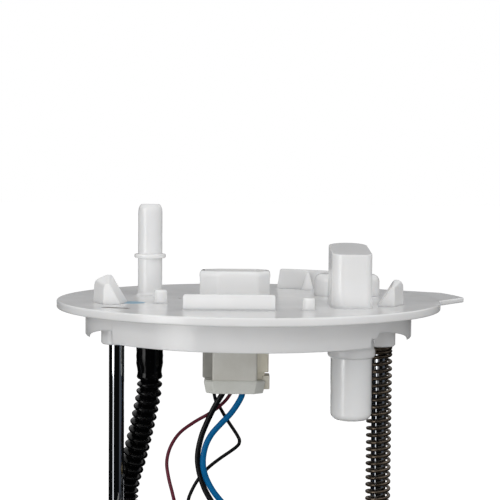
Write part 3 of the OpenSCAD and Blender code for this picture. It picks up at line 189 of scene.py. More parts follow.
@dataclass(frozen=True)
class Finish:
    """A surface with soft drifts of colour, an uneven gloss and a fine grain.

    The colours are sRGB hex values, patch and grain are real sizes, and stretch lengthens the
    grain along an axis, as drawing or turning does.
    """

    name: str
    colour: str
    shade: str
    roughness: float
    gloss_spread: float = 0.05
    patch_mm: float = 18.0
    grain_mm: float = 0.6
    grain_height_mm: float = 0.01
    stretch: Spot = (1.0, 1.0, 1.0)
    metallic: float = 0.0
    ior: float = 1.5
    subsurface: float = 0.0
    depth_mm: float = 2.0
    coat: float = 0.0

    def material(self) -> bpy.types.Material:
        """Builds the finish once and returns its material.

        Returns:
            The material, the same one at each call.
        """
        found = bpy.data.materials.get(self.name)
        if found:
            return found
        material = bpy.data.materials.new(self.name)
        tree = blank_tree(material)
        place = add_node(tree, "ShaderNodeTexCoord").outputs["Object"]
        mapping = add_node(tree, "ShaderNodeMapping", {"Scale": self.stretch}, {"Vector": place})
        where = mapping.outputs["Vector"]
        bump = add_node(
            tree, "ShaderNodeBump", {"Strength": 1.0, "Distance": self.grain_height_mm * MM},
            {"Height": self.relief(tree, where)},
        )
        links = {
            "Base Color": self.tint(tree, where),
            "Roughness": self.gloss(tree, where),
            "Normal": bump.outputs["Normal"],
        }
        shader = add_node(tree, "ShaderNodeBsdfPrincipled", self.shader_settings(), links)
        add_node(tree, "ShaderNodeOutputMaterial", None, {"Surface": shader.outputs["BSDF"]})
        return material

    def shader_settings(self) -> dict:
        """Returns the shader's fixed values; a metal keeps the default IOR.

        Returns:
            Values by socket name.
        """
        settings: dict = {"Metallic": self.metallic}
        if not self.metallic:
            settings["IOR"] = self.ior
        if self.subsurface:
            settings["Subsurface Weight"] = self.subsurface
            settings["Subsurface Scale"] = self.depth_mm * MM
            settings["Subsurface Radius"] = MILKY_REACH
        if self.coat:
            settings["Coat Weight"] = self.coat
            settings["Coat Roughness"] = COAT_ROUGHNESS
        return settings

    def tint(self, tree: Tree, where: Socket) -> Socket:
        """Returns the surface's colour: two tones that drift into each other.

        Args:
            tree: The material's node tree.
            where: The coordinates that the patterns read.

        Returns:
            The colour.
        """
        patches = add_node(
            tree, "ShaderNodeTexNoise", noise_of(self.patch_mm, 3.0), {"Vector": where}
        )
        drift = add_node(
            tree, "ShaderNodeMapRange", range_of(NOISE_RANGE, (0.0, 1.0)),
            {"Value": patches.outputs["Fac"]},
        )
        tones = {"data_type": "RGBA", 6: srgb(self.colour), 7: srgb(self.shade)}
        return add_node(tree, "ShaderNodeMix", tones, {0: drift.outputs["Result"]}).outputs[2]

    def gloss(self, tree: Tree, where: Socket) -> Socket:
        """Returns the surface's roughness, uneven as on any real part.

        Args:
            tree: The material's node tree.
            where: The coordinates that the patterns read.

        Returns:
            The roughness.
        """
        low = max(0.02, self.roughness - self.gloss_spread)
        high = self.roughness + self.gloss_spread
        smears = add_node(
            tree, "ShaderNodeTexNoise", noise_of(self.patch_mm * 0.35, 2.0), {"Vector": where}
        )
        return add_node(
            tree, "ShaderNodeMapRange", range_of(NOISE_RANGE, (low, high)),
            {"Value": smears.outputs["Fac"]},
        ).outputs["Result"]

    def relief(self, tree: Tree, where: Socket) -> Socket:
        """Returns the height of the surface's grain, from 0 to 1."""
        grain = noise_of(self.grain_mm, 2.0)
        return add_node(tree, "ShaderNodeTexNoise", grain, {"Vector": where}).outputs["Fac"]


@dataclass(frozen=True)
class Banded(Finish):
    """A finish with regular bands, such as stacked sheets or wound wire."""

    band_mm: float = 0.5
    along: Direction = Direction.Z
    band_colour: str = "#202020"
    band_share: float = 0.5

    def relief(self, tree: Tree, where: Socket) -> Socket:
        """Returns the bands as the surface's height."""
        bands = bands_of(self.band_mm, self.along)
        return add_node(tree, "ShaderNodeTexWave", bands, {"Vector": where}).outputs["Fac"]

    def tint(self, tree: Tree, where: Socket) -> Socket:
        """Returns the drifting colour with darker lines between the bands."""
        line = add_node(
            tree, "ShaderNodeMapRange", range_of((0.0, self.band_share), (1.0, 0.0)),
            {"Value": self.relief(tree, where)},
        )
        return add_node(
            tree, "ShaderNodeMix", {"data_type": "RGBA", 7: srgb(self.band_colour)},
            {0: line.outputs["Result"], 6: super().tint(tree, where)},
        ).outputs[2]


@dataclass(frozen=True)
class Woven(Finish):
    """A woven mesh: two sets of threads that cross at a right angle."""

    thread_mm: float = 1.0

    def relief(self, tree: Tree, where: Socket) -> Socket:
        """Returns the height of whichever thread lies on top.

        Args:
            tree: The material's node tree.
            where: The coordinates that the patterns read.

        Returns:
            The height, from 0 to 1.
        """
        waves = [
            add_node(tree, "ShaderNodeTexWave", bands_of(self.thread_mm, along), {"Vector": where})
            for along in (Direction.X, Direction.Y)
        ]
        heights = {i: wave.outputs["Fac"] for i, wave in enumerate(waves)}
        return add_node(tree, "ShaderNodeMath", {"operation": "MAXIMUM"}, heights).outputs["Value"]

    def tint(self, tree: Tree, where: Socket) -> Socket:
        """Returns light threads with dark openings between them."""
        tones = {"data_type": "RGBA", 6: srgb(self.shade), 7: srgb(self.colour)}
        return add_node(tree, "ShaderNodeMix", tones, {0: self.relief(tree, where)}).outputs[2]


# Natural acetal, injection moulded: a neutral white with a satin to glossy skin that shows
# soft reflections, very faint flow marks and no grain that the eye can part.
ACETAL = Finish(
    "acetal natural moulded", "#F2F2F2", "#ECECEC", 0.17,
    gloss_spread=0.02, patch_mm=40.0, grain_mm=3.0, grain_height_mm=0.0002, ior=1.48,
    subsurface=0.75, depth_mm=2.2,
)
# The same acetal in a thin wall that lets light through, with a sharper gloss; its colour a touch
# whiter as painted light, for light shining through it from behind.
ACETAL_THIN_PAINTED_LIGHT = Finish(
    "acetal thin wall painted light", "#F8F9F9", "#F4F5F5", 0.13,
    gloss_spread=0.02, patch_mm=16.0, grain_mm=3.0, grain_height_mm=0.0,
    subsurface=0.7, depth_mm=1.2, coat=0.7,
)
# Painted shade in the flange's two small recesses: a dull grey brown fill with no reflection.
RECESS_PAINTED_SHADE = Finish(
    "painted recess shade", "#57504A", "#5F5852", 0.8,
    gloss_spread=0.08, patch_mm=1.5, grain_mm=0.3, ior=1.12,
)
# Nylon 66, injection moulded: milky, slightly yellow with age, a duller skin than acetal.
NYLON = Finish(
    "nylon 66 natural moulded", "#E2E1DA", "#D8D6CD", 0.34,
    gloss_spread=0.06, patch_mm=9.0, grain_mm=0.8, grain_height_mm=0.006, ior=1.53,
)
# The same nylon in grey for the plug's left side and neck: painted shade.
NYLON_PAINTED_SHADE = replace(NYLON, name="nylon 66 painted shade", colour="#A2A19B", shade="#979690")
# The same nylon, a touch cooler and lighter, for the lock: the lightness is painted light.
NYLON_LOCK_PAINTED_LIGHT = replace(NYLON, name="nylon 66 lock painted light", colour="#E6E7E1", shade="#DEDFD8")
# The same nylon, lighter and more yellow, for the plug's right part: the lightness is painted light,
# the yellow tint is the nylon's own.
NYLON_RIGHT_PAINTED_LIGHT = replace(
    NYLON, name="nylon 66 right side painted light", colour="#EDE9DB", shade="#E2DCC8",
    roughness=0.36, patch_mm=7.0,
)
# Identification paint dabbed on by hand: thin, pale blue and unevenly glossy.
BLUE_PAINT = Finish(
    "marking paint dabbed", "#7FA9C0", "#93B7CA", 0.4,
    gloss_spread=0.1, patch_mm=2.5, grain_mm=0.5,
)
# Hard chrome on ground steel: a clean mirror, its grinding marks too fine to see.
CHROME = Finish(
    "hard chrome ground rod", "#C9CCD0", "#BFC3C8", 0.035,
    gloss_spread=0.01, patch_mm=8.0, grain_mm=0.25, grain_height_mm=0.0,
    stretch=(1.0, 1.0, 0.05), metallic=1.0,
)
# Oil-tempered spring wire, cold drawn: bronze-brown scale, half dull.
SPRING_WIRE = Finish(
    "spring wire oil tempered", "#766A5C", "#4C433A", 0.3,
    gloss_spread=0.08, patch_mm=4.0, grain_mm=0.3, grain_height_mm=0.006, metallic=0.9,
)
# Stainless spring wire, bright drawn: a soft silver sheen.
BRIGHT_WIRE = Finish(
    "stainless wire bright drawn", "#B9BABC", "#A6A8AA", 0.24,
    patch_mm=3.0, grain_mm=0.2, grain_height_mm=0.004, metallic=1.0,
)
# Black nylon 12 tube, extruded and corrugated: deep black with small sharp highlights.
HOSE_BLACK = Finish(
    "nylon 12 black corrugated", "#050506", "#080809", 0.11,
    gloss_spread=0.02, patch_mm=5.0, grain_mm=0.5, grain_height_mm=0.0, ior=1.3,
)
# Fuel-proof wire insulation, extruded: smooth, with a faint waxy gloss.
WIRE_BLUE = Finish(
    "insulation blue extruded", "#006CA8", "#006098", 0.4,
    patch_mm=6.0, grain_mm=0.35, grain_height_mm=0.001, ior=1.22,
)
WIRE_BLACK = replace(
    WIRE_BLUE, name="insulation black extruded", colour="#0B0B0D", shade="#101013",
    roughness=0.42, ior=1.33,
)
WIRE_MAROON = replace(
    WIRE_BLUE, name="insulation maroon extruded", colour="#6B2134", shade="#5A1A2B",
    roughness=0.42, grain_mm=0.3, ior=1.36,
)
# Black acetal, injection moulded from a spark-eroded tool: a fine matt grain.
BLACK_ACETAL = Finish(
    "acetal black moulded", "#1B1C1E", "#222326", 0.45,
    gloss_spread=0.08, patch_mm=22.0, grain_mm=0.7, grain_height_mm=0.02, ior=1.48,
)
# Glass-filled black plastic, moulded: greyer, with short fibres that show as fine streaks.
FILLED_BLACK = Finish(
    "plastic black glass filled", "#202124", "#2B2C2F", 0.5,
    gloss_spread=0.08, patch_mm=5.0, grain_mm=0.45, grain_height_mm=0.02,
    stretch=(1.0, 1.0, 0.35), ior=1.55,
)
# Nitrile rubber, compression moulded: soft black with a bloom.
NITRILE = Finish(
    "nitrile rubber moulded", "#151516", "#202021", 0.7,
    gloss_spread=0.08, patch_mm=8.0, grain_mm=0.5, grain_height_mm=0.02, ior=1.52,
)
# Closed-cell nitrile foam, cut and skinned: brown black with open pores.
FOAM = Finish(
    "nitrile foam skinned", "#2B2825", "#1C1A18", 0.82,
    gloss_spread=0.06, patch_mm=2.0, grain_mm=0.9, grain_height_mm=0.12,
)
# Fluorocarbon rubber, compression moulded: rust orange, smooth.
FLUORO = Finish(
    "fluorocarbon rubber moulded", "#9A4A24", "#86401F", 0.5,
    gloss_spread=0.06, patch_mm=4.0, grain_mm=0.4,
)
# Steel can, rolled and zinc plated: cool grey with a faint cloudy crystal.
ZINC = Finish(
    "steel zinc plated", "#B7B8B6", "#A3A5A4", 0.3,
    gloss_spread=0.08, patch_mm=6.0, grain_mm=0.7, grain_height_mm=0.006, metallic=1.0,
)
# Steel can, pressed and yellow passivated: gold with faint pink clouds.
YELLOW_ZINC = Finish(
    "steel yellow passivated", "#C2AE6C", "#B5987A", 0.3,
    gloss_spread=0.08, patch_mm=5.0, grain_height_mm=0.005, metallic=1.0,
)
# Steel bar, centreless ground: bright, with marks that run round it.
GROUND_STEEL = Finish(
    "steel centreless ground", "#B4B5B8", "#A2A4A8", 0.2,
    patch_mm=4.0, grain_mm=0.2, grain_height_mm=0.003, stretch=(1.0, 1.0, 6.0), metallic=1.0,
)
# Aluminium, pressure die cast: silver grey with a rough cast skin.
CAST_ALUMINIUM = Finish(
    "aluminium die cast", "#AEB0B2", "#9A9DA0", 0.42,
    gloss_spread=0.08, patch_mm=4.0, grain_mm=0.5, grain_height_mm=0.03, metallic=1.0,
)
# Brass blades, stamped and tinned: pale, slightly warm.
TINNED = Finish(
    "brass stamped tinned", "#CFC8B4", "#BFB59A", 0.28,
    gloss_spread=0.06, patch_mm=2.0, grain_mm=0.25, grain_height_mm=0.004, metallic=1.0,
)
# Electrical steel sheets, stamped and stacked: 0.5 mm sheets, drawn at 1 mm so that they show.
LAMINATED = Banded(
    "electrical steel stacked", "#6D6F73", "#5C5E62", 0.4,
    patch_mm=5.0, grain_height_mm=0.05, metallic=1.0, band_mm=1.0, band_colour="#2A2B2E",
)
# Enamelled copper wire, wound: 0.5 mm wire drawn at 0.8 mm so that it shows.
COPPER = Banded(
    "copper wire enamelled", "#B4622F", "#9A4F24", 0.3,
    patch_mm=3.0, grain_height_mm=0.12, metallic=1.0, band_mm=0.8,
    along=Direction.X, band_colour="#4A2413",
)
# Carbon, pressed and sintered: dull black grey.
CARBON = Finish(
    "carbon pressed", "#2C2D2F", "#36373A", 0.6,
    gloss_spread=0.06, patch_mm=2.0, grain_mm=0.3, grain_height_mm=0.015,
)
# Ferrite, pressed and sintered: charcoal.
FERRITE = Finish(
    "ferrite sintered", "#3A3B3D", "#454648", 0.55,
    gloss_spread=0.08, patch_mm=4.0, grain_mm=0.5, grain_height_mm=0.02,
)
# Phenolic, moulded and lapped: brown, with specks of filler.
PHENOLIC = Finish(
    "phenolic moulded", "#6B4A2B", "#54381F", 0.45,
    gloss_spread=0.06, patch_mm=1.2, grain_mm=0.4, ior=1.6,
)
# Nylon mesh of the strainer: the real 0.1 mm threads are drawn at 0.9 mm so that they show.
MESH = Woven(
    "nylon mesh woven", "#D2D1C8", "#77766D", 0.6, grain_height_mm=0.15, ior=1.53, thread_mm=0.9,
)
# Alumina card, fired, with printed resistor tracks in dark cermet.
CARD = Banded(
    "alumina card printed", "#E7E6E0", "#DEDDD6", 0.4,
    patch_mm=5.0, grain_height_mm=0.02, ior=1.7, band_mm=2.0, band_colour="#1F2A26", band_share=0.4,
)
# Spring alloy contact, stamped and rolled: pale gold, fairly bright.
CONTACT = Finish(
    "contact alloy rolled", "#C9AE6A", "#B89A55", 0.26,
    patch_mm=1.5, grain_mm=0.2, grain_height_mm=0.003, metallic=1.0,
)

NODE_FINISHES: dict[str, Finish] = {
    node: finish
    for finish, nodes in (
        (ACETAL, "flange"),
        (ACETAL_THIN_PAINTED_LIGHT, "valve_housing"),
        (NYLON, "harness_plug plug_lock valve_seat vent_float pump_plug return_tube sender_housing"),
        (BLACK_ACETAL, "reservoir_cup reservoir_cover jet_pump wiper_arm"),
        (FILLED_BLACK, "pump_cap strainer_neck outlet_manifold"),
        (NITRILE, "pump_isolator"),
        (FOAM, "level_float"),
        (FLUORO, "check_valve manifold_seal base_valve"),
        (PHENOLIC, "impeller"),
        (MESH, "strainer"),
        (HOSE_BLACK, "outlet_hose"),
        (WIRE_BLUE, "blue_wire"),
        (WIRE_BLACK, "black_wire thin_black_wire"),
        (WIRE_MAROON, "maroon_wire"),
        (CHROME, "guide_rod_left guide_rod_right"),
        (SPRING_WIRE, "main_spring"),
        (BRIGHT_WIRE, "vent_spring check_spring brush_springs rod_clips regulator_clip float_rod"),
        (ZINC, "pump_can"),
        (YELLOW_ZINC, "pressure_regulator"),
        (GROUND_STEEL, "rotor_shaft"),
        (CAST_ALUMINIUM, "pump_base impeller_plate"),
        (TINNED, "contact_blades pump_blades check_retainer"),
        (LAMINATED, "armature"),
        (COPPER, "windings"),
        (CARBON, "commutator brushes"),
        (FERRITE, "magnets"),
        (CARD, "resistor_card"),
        (CONTACT, "wiper_contacts"),
    )
    for node in nodes.split()
}


# Plans


def arc(centre: Flat, radius: float, start: float, end: float, steps: int) -> list[Flat]:
    """Points along an arc.

    Args:
        centre: The arc's centre.
        radius: The arc's radius.
        start: First angle in degrees.
        end: Last angle in degrees.
        steps: Number of stretches.

    Returns:
        The points, both ends included.
    """
    angles = [math.radians(start + (end - start) * i / steps) for i in range(steps + 1)]
    return [(centre[0] + radius * math.cos(a), centre[1] + radius * math.sin(a)) for a in angles]


def polar(radius: float, angle: float) -> Flat:
    """The point at a radius and an angle in degrees about the flange's axis."""
    return arc((0, 0), radius, angle, angle, 1)[0]


def rounded(
    width: float, depth: float, radius: float, centre: Flat = (0.0, 0.0), steps: int = 0
) -> list[Flat]:
    """A rectangle's plan with rounded corners.

    Args:
        width: Size along X.
        depth: Size along Y.
        radius: The corners' radius.
        centre: The rectangle's centre.
        steps: Stretches round each corner, or 0 for as many as its radius needs.

    Returns:
        The plan's points, anticlockwise.
    """
    plan: list[Flat] = []
    steps = steps or max(2, round(3 + radius))
    for i, (side, end) in enumerate(((1, 1), (-1, 1), (-1, -1), (1, -1))):
        corner = (
            centre[0] + side * (width / 2 - radius), centre[1] + end * (depth / 2 - radius),
        )
        plan += arc(corner, radius, 90 * i, 90 * i + 90, steps)
    return plan


def chamfered(width: float, depth: float, cut_x: float, cut_y: float, centre: Flat) -> list[Flat]:
    """A rectangle's plan with its four corners cut off.

    Args:
        width: Size along X.
        depth: Size along Y.
        cut_x: How far each cut runs along X.
        cut_y: How far each cut runs along Y.
        centre: The rectangle's centre.

    Returns:
        The plan's eight points, anticlockwise.
    """
    w, d = width / 2, depth / 2
    corners = [
        (w - cut_x, -d), (w, cut_y - d), (w, d - cut_y), (w - cut_x, d),
        (cut_x - w, d), (-w, d - cut_y), (-w, cut_y - d), (cut_x - w, -d),
    ]
    return [(centre[0] + x, centre[1] + y) for x, y in corners]


# Modelling tools


def clear_selection() -> None:
    """Leaves edit mode and selects nothing."""
    if bpy.context.object and bpy.context.object.mode != "OBJECT":
        bpy.ops.object.mode_set(mode="OBJECT")
    bpy.ops.object.select_all(action="DESELECT")


def only(piece: Piece) -> None:
    """Selects one piece and makes it active.

    Args:
        piece: The piece.
    """
    clear_selection()
    piece.select_set(True)
    bpy.context.view_layer.objects.active = piece


def edit(piece: Piece) -> None:
    """Opens a piece in edit mode with all of it selected.

    Args:
        piece: The piece.
    """
    only(piece)
    bpy.ops.object.mode_set(mode="EDIT")
    bpy.ops.mesh.select_all(action="SELECT")


def tidy_mesh(piece: Piece) -> None:
    """Merges doubles and points all faces outwards.

    Args:
        piece: The piece.
    """
    edit(piece)
    bpy.ops.mesh.remove_doubles(threshold=0.001 * MM)
    bpy.ops.mesh.normals_make_consistent(inside=False)
    bpy.ops.object.mode_set(mode="OBJECT")


def place_selected(piece: Piece, old: Sequence[Spot], new: Sequence[Spot]) -> None:
    """Moves the selected ring from its old points to the new ones.

    Args:
        piece: The piece in edit mode.
        old: Where the ring's points are, in millimetres, to four decimals.
        new: Where they go, in the same order.
    """
    target = dict(zip(old, new))
    mesh = bmesh.from_edit_mesh(piece.data)
    for vert in mesh.verts:
        if vert.select:
            key = tuple(round(c / MM, 4) + 0.0 for c in vert.co)
            vert.co = Vector(target[key]) * MM
    bmesh.update_edit_mesh(piece.data)


def loft(name: str, rings: Sequence[Sequence[Spot]]) -> Piece:
    """Models a solid from rings of points, extruding each ring from the last.

    Args:
        name: The piece's name.
        rings: Rings with the same number of points, in millimetres.

    Returns:
        The piece, in object mode.
    """
    clear_selection()
    exact = [[tuple(round(c, 4) + 0.0 for c in p) for p in ring] for ring in rings]
    bpy.ops.mesh.primitive_circle_add(vertices=len(rings[0]), radius=1.0, fill_type="NGON")
    piece = bpy.context.object
    piece.name = name
    for vert, point in zip(piece.data.vertices, exact[0]):
        vert.co = Vector(point) * MM
    edit(piece)
    for old, new in zip(exact, exact[1:]):
        bpy.ops.mesh.extrude_region_move(TRANSFORM_OT_translate={"value": (0, 0, 0)})
        place_selected(piece, old, new)
    tidy_mesh(piece)
    return piece


def block(name: str, plan: Sequence[Flat], low: float, high: float) -> Piece:
    """Extrudes a plan between two heights.

    Args:
        name: The piece's name.
        plan: The plan's points in millimetres.
        low: Height of its underside.
        high: Height of its top.

    Returns:
        The piece, in object mode.
    """
    return loft(name, [[(x, y, z) for x, y in plan] for z in (low, high)])


def turned(name: str, profile: Sequence[Flat], centre: Flat, steps: int) -> Piece:
    """Turns a profile round a vertical axis.

    Args:
        name: The piece's name.
        profile: Radius and height pairs in millimetres; a closed profile ends where it starts.
        centre: The axis's place.
        steps: Number of flats round.

    Returns:
        The piece, in object mode.
    """
    clear_selection()
    x, y = centre[0] * MM, centre[1] * MM
    radius, height = profile[0]
    bpy.ops.mesh.primitive_circle_add(
        vertices=steps, radius=radius * MM, fill_type="NOTHING", location=(x, y, height * MM)
    )
    piece = bpy.context.object
    piece.name = name
    edit(piece)
    for (r0, z0), (r1, z1) in zip(profile, profile[1:]):
        bpy.ops.mesh.extrude_region_move(
            TRANSFORM_OT_translate={"value": (0, 0, (z1 - z0) * MM)}
        )
        bpy.ops.transform.resize(value=(r1 / r0, r1 / r0, 1), center_override=(x, y, z1 * MM))
    if profile[0] != profile[-1]:
        bpy.ops.mesh.edge_face_add()
        bpy.ops.mesh.select_all(action="DESELECT")
        bpy.ops.mesh.select_mode(type="EDGE")
        bpy.ops.mesh.select_non_manifold()
        bpy.ops.mesh.edge_face_add()
    tidy_mesh(piece)
    return piece


def level(a: Vector, b: Vector) -> bool:
    """Says whether the edge between two points is level."""
    return abs(a.z - b.z) < 0.01


def above(height: float) -> EdgeTest:
    """Returns a test for edges that lie above a height."""
    return lambda a, b: min(a.z, b.z) > height


def below(height: float) -> EdgeTest:
    """Returns a test for edges that lie below a height."""
    return lambda a, b: max(a.z, b.z) < height


def round_edges(piece: Piece, wanted: EdgeTest, width: float, segments: int = 3) -> None:
    """Bevels the edges that a test picks.

    Args:
        piece: The piece.
        wanted: Given an edge's two ends in millimetres, says whether it is bevelled.
        width: Width of the bevel in millimetres.
        segments: Steps across the bevel.
    """
    edit(piece)
    bpy.ops.mesh.select_all(action="DESELECT")
    bpy.ops.mesh.select_mode(type="EDGE")
    mesh = bmesh.from_edit_mesh(piece.data)
    for line in mesh.edges:
        sharp = len(line.link_faces) == 2 and line.calc_face_angle(0.0) > math.radians(20)
        line.select = sharp and wanted(line.verts[0].co / MM, line.verts[1].co / MM)
    mesh.select_flush_mode()
    bmesh.update_edit_mesh(piece.data)
    bpy.ops.mesh.bevel(
        offset=width * MM, segments=segments, profile=0.5, affect="EDGES", clamp_overlap=True
    )
    bpy.ops.object.mode_set(mode="OBJECT")


def trim(piece: Piece, point: Spot, outwards: Spot) -> None:
    """Cuts off what lies beyond a plane and closes the cut.

    Args:
        piece: The piece.
        point: A point of the plane in millimetres.
        outwards: The plane's normal, on the side that goes.
    """
    edit(piece)
    bpy.ops.mesh.bisect(
        plane_co=Vector(point) * MM, plane_no=outwards, use_fill=True, clear_outer=True
    )
    bpy.ops.object.mode_set(mode="OBJECT")


def cut(piece: Piece, cutter: Piece) -> None:
    """Cuts one solid out of another and removes the cutter.

    Args:
        piece: The solid that stays.
        cutter: The solid that is used up.
    """
    only(piece)
    modifier = piece.modifiers.new("cut", "BOOLEAN")
    modifier.operation = "DIFFERENCE"
    modifier.solver = "EXACT"
    modifier.object = cutter
    bpy.ops.object.modifier_apply(modifier=modifier.name)
    bpy.data.objects.remove(cutter)


def turn_and_move(piece: Piece, angle: float, centre: Flat = (0.0, 0.0)) -> None:
    """Turns a mesh about the flange's axis and then moves it.

    Args:
        piece: The piece.
        angle: The turn in degrees, anticlockwise seen from above.
        centre: Where the axis's point goes.
    """
    piece.data.transform(
        Matrix.Translation(Vector((*centre, 0)) * MM)
        @ Matrix.Rotation(math.radians(angle), 4, "Z")
    )


def add_object(name: str, data: bpy.types.ID) -> Piece:
    """Puts new data in the scene as an object and returns it.

    Args:
        name: The object's name.
        data: Its mesh, light or camera.

    Returns:
        The object.
    """
    item = bpy.data.objects.new(name, data)
    bpy.context.scene.collection.objects.link(item)
    return item


def add_mesh(name: str, verts: Sequence[Vector], faces: Sequence[tuple[int, ...]]) -> Piece:
    """Puts a mesh in the scene.

    Args:
        name: The piece's name.
        verts: Its points in metres.
        faces: Its faces, as numbers of points.

    Returns:
        The piece.
    """
    mesh = bpy.data.meshes.new(name)
    mesh.from_pydata(verts, [], faces)
    return add_object(name, mesh)


def paint(piece: Piece, finish: Finish) -> None:
    """Gives a piece its finish in place of any other."""
    piece.data.materials.clear()
    piece.data.materials.append(finish.material())


def dress(
    piece: Piece, finish: Finish, body: Body | None, smooth: float = 35.0
) -> Piece:
    """Shades a finished piece, gives it its finish and lets it ride on its body.

    Args:
        piece: The piece.
        finish: Its finish.
        body: The body that it moves with, or None for a piece that rides on no body.
        smooth: Edges flatter than this angle in degrees are shaded smooth.

    Returns:
        The piece.
    """
    only(piece)
    bpy.ops.object.transform_apply(location=True, rotation=True, scale=True)
    bpy.ops.object.shade_smooth_by_angle(angle=math.radians(smooth))
    flats = piece.modifiers.new("flats", "WEIGHTED_NORMAL")
    flats.keep_sharp = True
    bpy.ops.object.modifier_apply(modifier=flats.name)
    paint(piece, finish)
    if body:
        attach(piece, body.value)
    LOG.info("%s: %d faces", piece.name, len(piece.data.polygons))
    return piece


def shorten(piece: Piece) -> None:
    """Gives a piece its own copy of its mesh.

    Args:
        piece: The dressed piece.
    """
    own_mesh(piece)


# Sub-assemblies


@dataclass
class Flange:
    """The round moulding that closes the tank, with all that is moulded on it."""

    radius: float = 73.0
    thick: float = 3.0
    skirt_radius: float = 62.2
    skirt_wall: float = 2.2
    skirt_depth: float = 10.1
    ear_reach: float = 85.6
    socket: Flat = (-5.1, 0.0)
    sunk: float = 0.1
    pieces: list[Piece] = field(default_factory=list)

    def build(self) -> None:
        """Models the flange and puts it in place of its solid."""
        self.disc()
        self.ear()
        self.bosses()
        self.outlet_tube()
        self.lugs()
        self.guard_wall()
        self.socket_walls()
        self.posts()
        self.curved_wall()
        self.dome()
        self.blister()
        self.underside()
        self.paint_dot()
        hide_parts("flange")

    def keep(self, piece: Piece, finish: Finish = ACETAL) -> None:
        """Dresses a piece of the flange and keeps it."""
        self.pieces.append(dress(piece, finish, Body.FLANGE))

    def disc(self) -> None:
        """The disc and spigot, with the notches and the two recesses cut, and painted shade filling
        the recesses.
        """
        top, low = self.thick, -self.skirt_depth
        rim, fillet, edge = 0.6, 0.4, 0.35
        inner = self.skirt_radius - self.skirt_wall
        profile: list[Flat] = [(1.0, top)]
        profile += arc((self.radius - rim, top - rim), rim, 90, 0, 5)
        profile += arc((self.radius - rim, rim), rim, 0, -90, 5)
        profile += arc((self.skirt_radius + fillet, -fillet), fillet, 90, 180, 4)
        profile += arc((self.skirt_radius - edge, low + edge), edge, 0, -90, 4)
        profile += arc((inner + edge, low + edge), edge, -90, -180, 4)
        profile += arc((inner - fillet, -fillet), fillet, 0, 90, 4)
        profile.append((1.0, 0.0))
        piece = turned("flange_disc", profile, (0.0, 0.0), 240)
        # Where each notch starts; the right one has a small rounded step
        left = [(50.2, -5.4), (51.7, -5.6)]
        right = [
            (45.1, -7.6), (45.4, -7.0), (46.9, -6.9), (47.4, -6.6), (47.7, -5.9), (48.1, -5.2),
            (49.0, -5.0), (51.6, -5.3),
        ]
        cut(piece, self.notch(-1, left))
        cut(piece, self.notch(1, right))
        cut(piece, self.slot(2.6, top - 0.8, top + 1))
        cut(piece, self.dimple("dimple", 0.9, top - 1, top + 1))
        self.keep(piece)
        # Dark grey fills just below the top of the two recesses: painted shade
        self.keep(self.slot(2.4, top - 0.9, top - 0.04), RECESS_PAINTED_SHADE)
        self.keep(self.dimple("flange_dimple_painted_shade", 0.85, top - 1.1, top - 0.03), RECESS_PAINTED_SHADE)

    def notch(self, side: int, start: list[Flat]) -> Piece:
        """Models the cutter for one notch of the spigot.

        Args:
            side: -1 for the left notch, 1 for the right one.
            start: The first points of its outline, as distance from the middle and height.

        Returns:
            The cutter, which narrows towards the viewer along the line of sight.
        """
        low = -self.skirt_depth - 1
        roof = [(53.5, -6.0), (55.3, -6.7), (56.7, -7.45), (57.6, -8.2), (58.1, -9.0), (58.25, -9.8)]
        outline = [*start, *roof, (58.25, low), (start[0][0], low)]
        ends = ((-64.0, 0.908), (0.0, 1.048))
        return loft("notch", [[(side * x * share, y, z) for x, z in outline] for y, share in ends])

    @staticmethod
    def slot(width: float, low: float, high: float) -> Piece:
        """The long recess near the rim at the left, or the painted shade that fills it.

        Args:
            width: Its width.
            low: Height of its underside.
            high: Height of its top.

        Returns:
            The solid.
        """
        piece = block("flange_slot_fill", rounded(width + 8.6, width, width / 2 - 0.1), low, high)
        turn_and_move(piece, -20, (-46.8, -41.6))
        return piece

    @staticmethod
    def dimple(name: str, radius: float, low: float, high: float) -> Piece:
        """The small round recess behind the guard wall, or the painted shade that fills it."""
        return turned(name, [(radius, low), (radius, high)], (-26.3, -2), 24)

    def ear(self) -> None:
        """The thin index ear, which runs out to a round tip."""
        tip_radius, tip_angle = 4.0, 8.5
        root = polar(self.radius - 0.3, -5)
        tip = polar(self.ear_reach - tip_radius, tip_angle)
        span = (tip[0] - root[0], tip[1] - root[1])
        swing = math.degrees(
            math.atan2(span[1], span[0]) - math.asin(tip_radius / math.hypot(*span))
        )
        plan = arc((0, 0), self.radius - 1.0, 45, -5, 40)
        plan += arc(tip, tip_radius, swing - 90, tip_angle, 12)
        plan += arc((0, 0), self.ear_reach, 9.5, 22, 10)
        plan += self.ear_back()
        piece = block("flange_ear", plan, 1.1, self.thick)
        beyond = self.radius + 0.2
        round_edges(piece, lambda a, b: a.to_2d().length > beyond and level(a, b), 0.5)
        self.keep(piece)

    def ear_back(self) -> list[Flat]:
        """Points of the ear's back edge, from its outer corner in to the rim.

        Returns:
            The points in plan.
        """
        outer = Vector(polar(self.ear_reach * 1.3, 26.75))
        inner = Vector(polar(self.ear_reach * 1.1, 45))
        points = [outer.lerp(inner, i / 59) for i in range(60)]
        return [(p.x, p.y) for p in points if self.radius - 0.6 < p.length < self.ear_reach]

    def bosses(self) -> None:
        """The two bosses that hold the guide rods, each with its ribs."""
        profile = [
            (3.0, -3.2), (3.0, -15.1), (3.4, -15.5), (5.5, -15.5), (6.0, -15.0),
            (6.0, -0.8), (6.8, 0.2), (3.0, 0.2), (3.0, -3.2),
        ]
        for side, name in ((-1, "left"), (1, "right")):
            centre = (side * SPRUNG_ROD_AT[0], SPRUNG_ROD_AT[1])
            self.keep(turned(f"flange_boss_{name}", profile, centre, 48))
            for number, angle in enumerate((-35, 35)):
                plan = rounded(9.6, 1.5, 0.2, (4.8, 0))
                rib = block(f"flange_boss_rib_{name}_{number}", plan, -7.0, 0.2)
                turn_and_move(rib, angle if side > 0 else 180 + angle, centre)
                self.keep(rib)

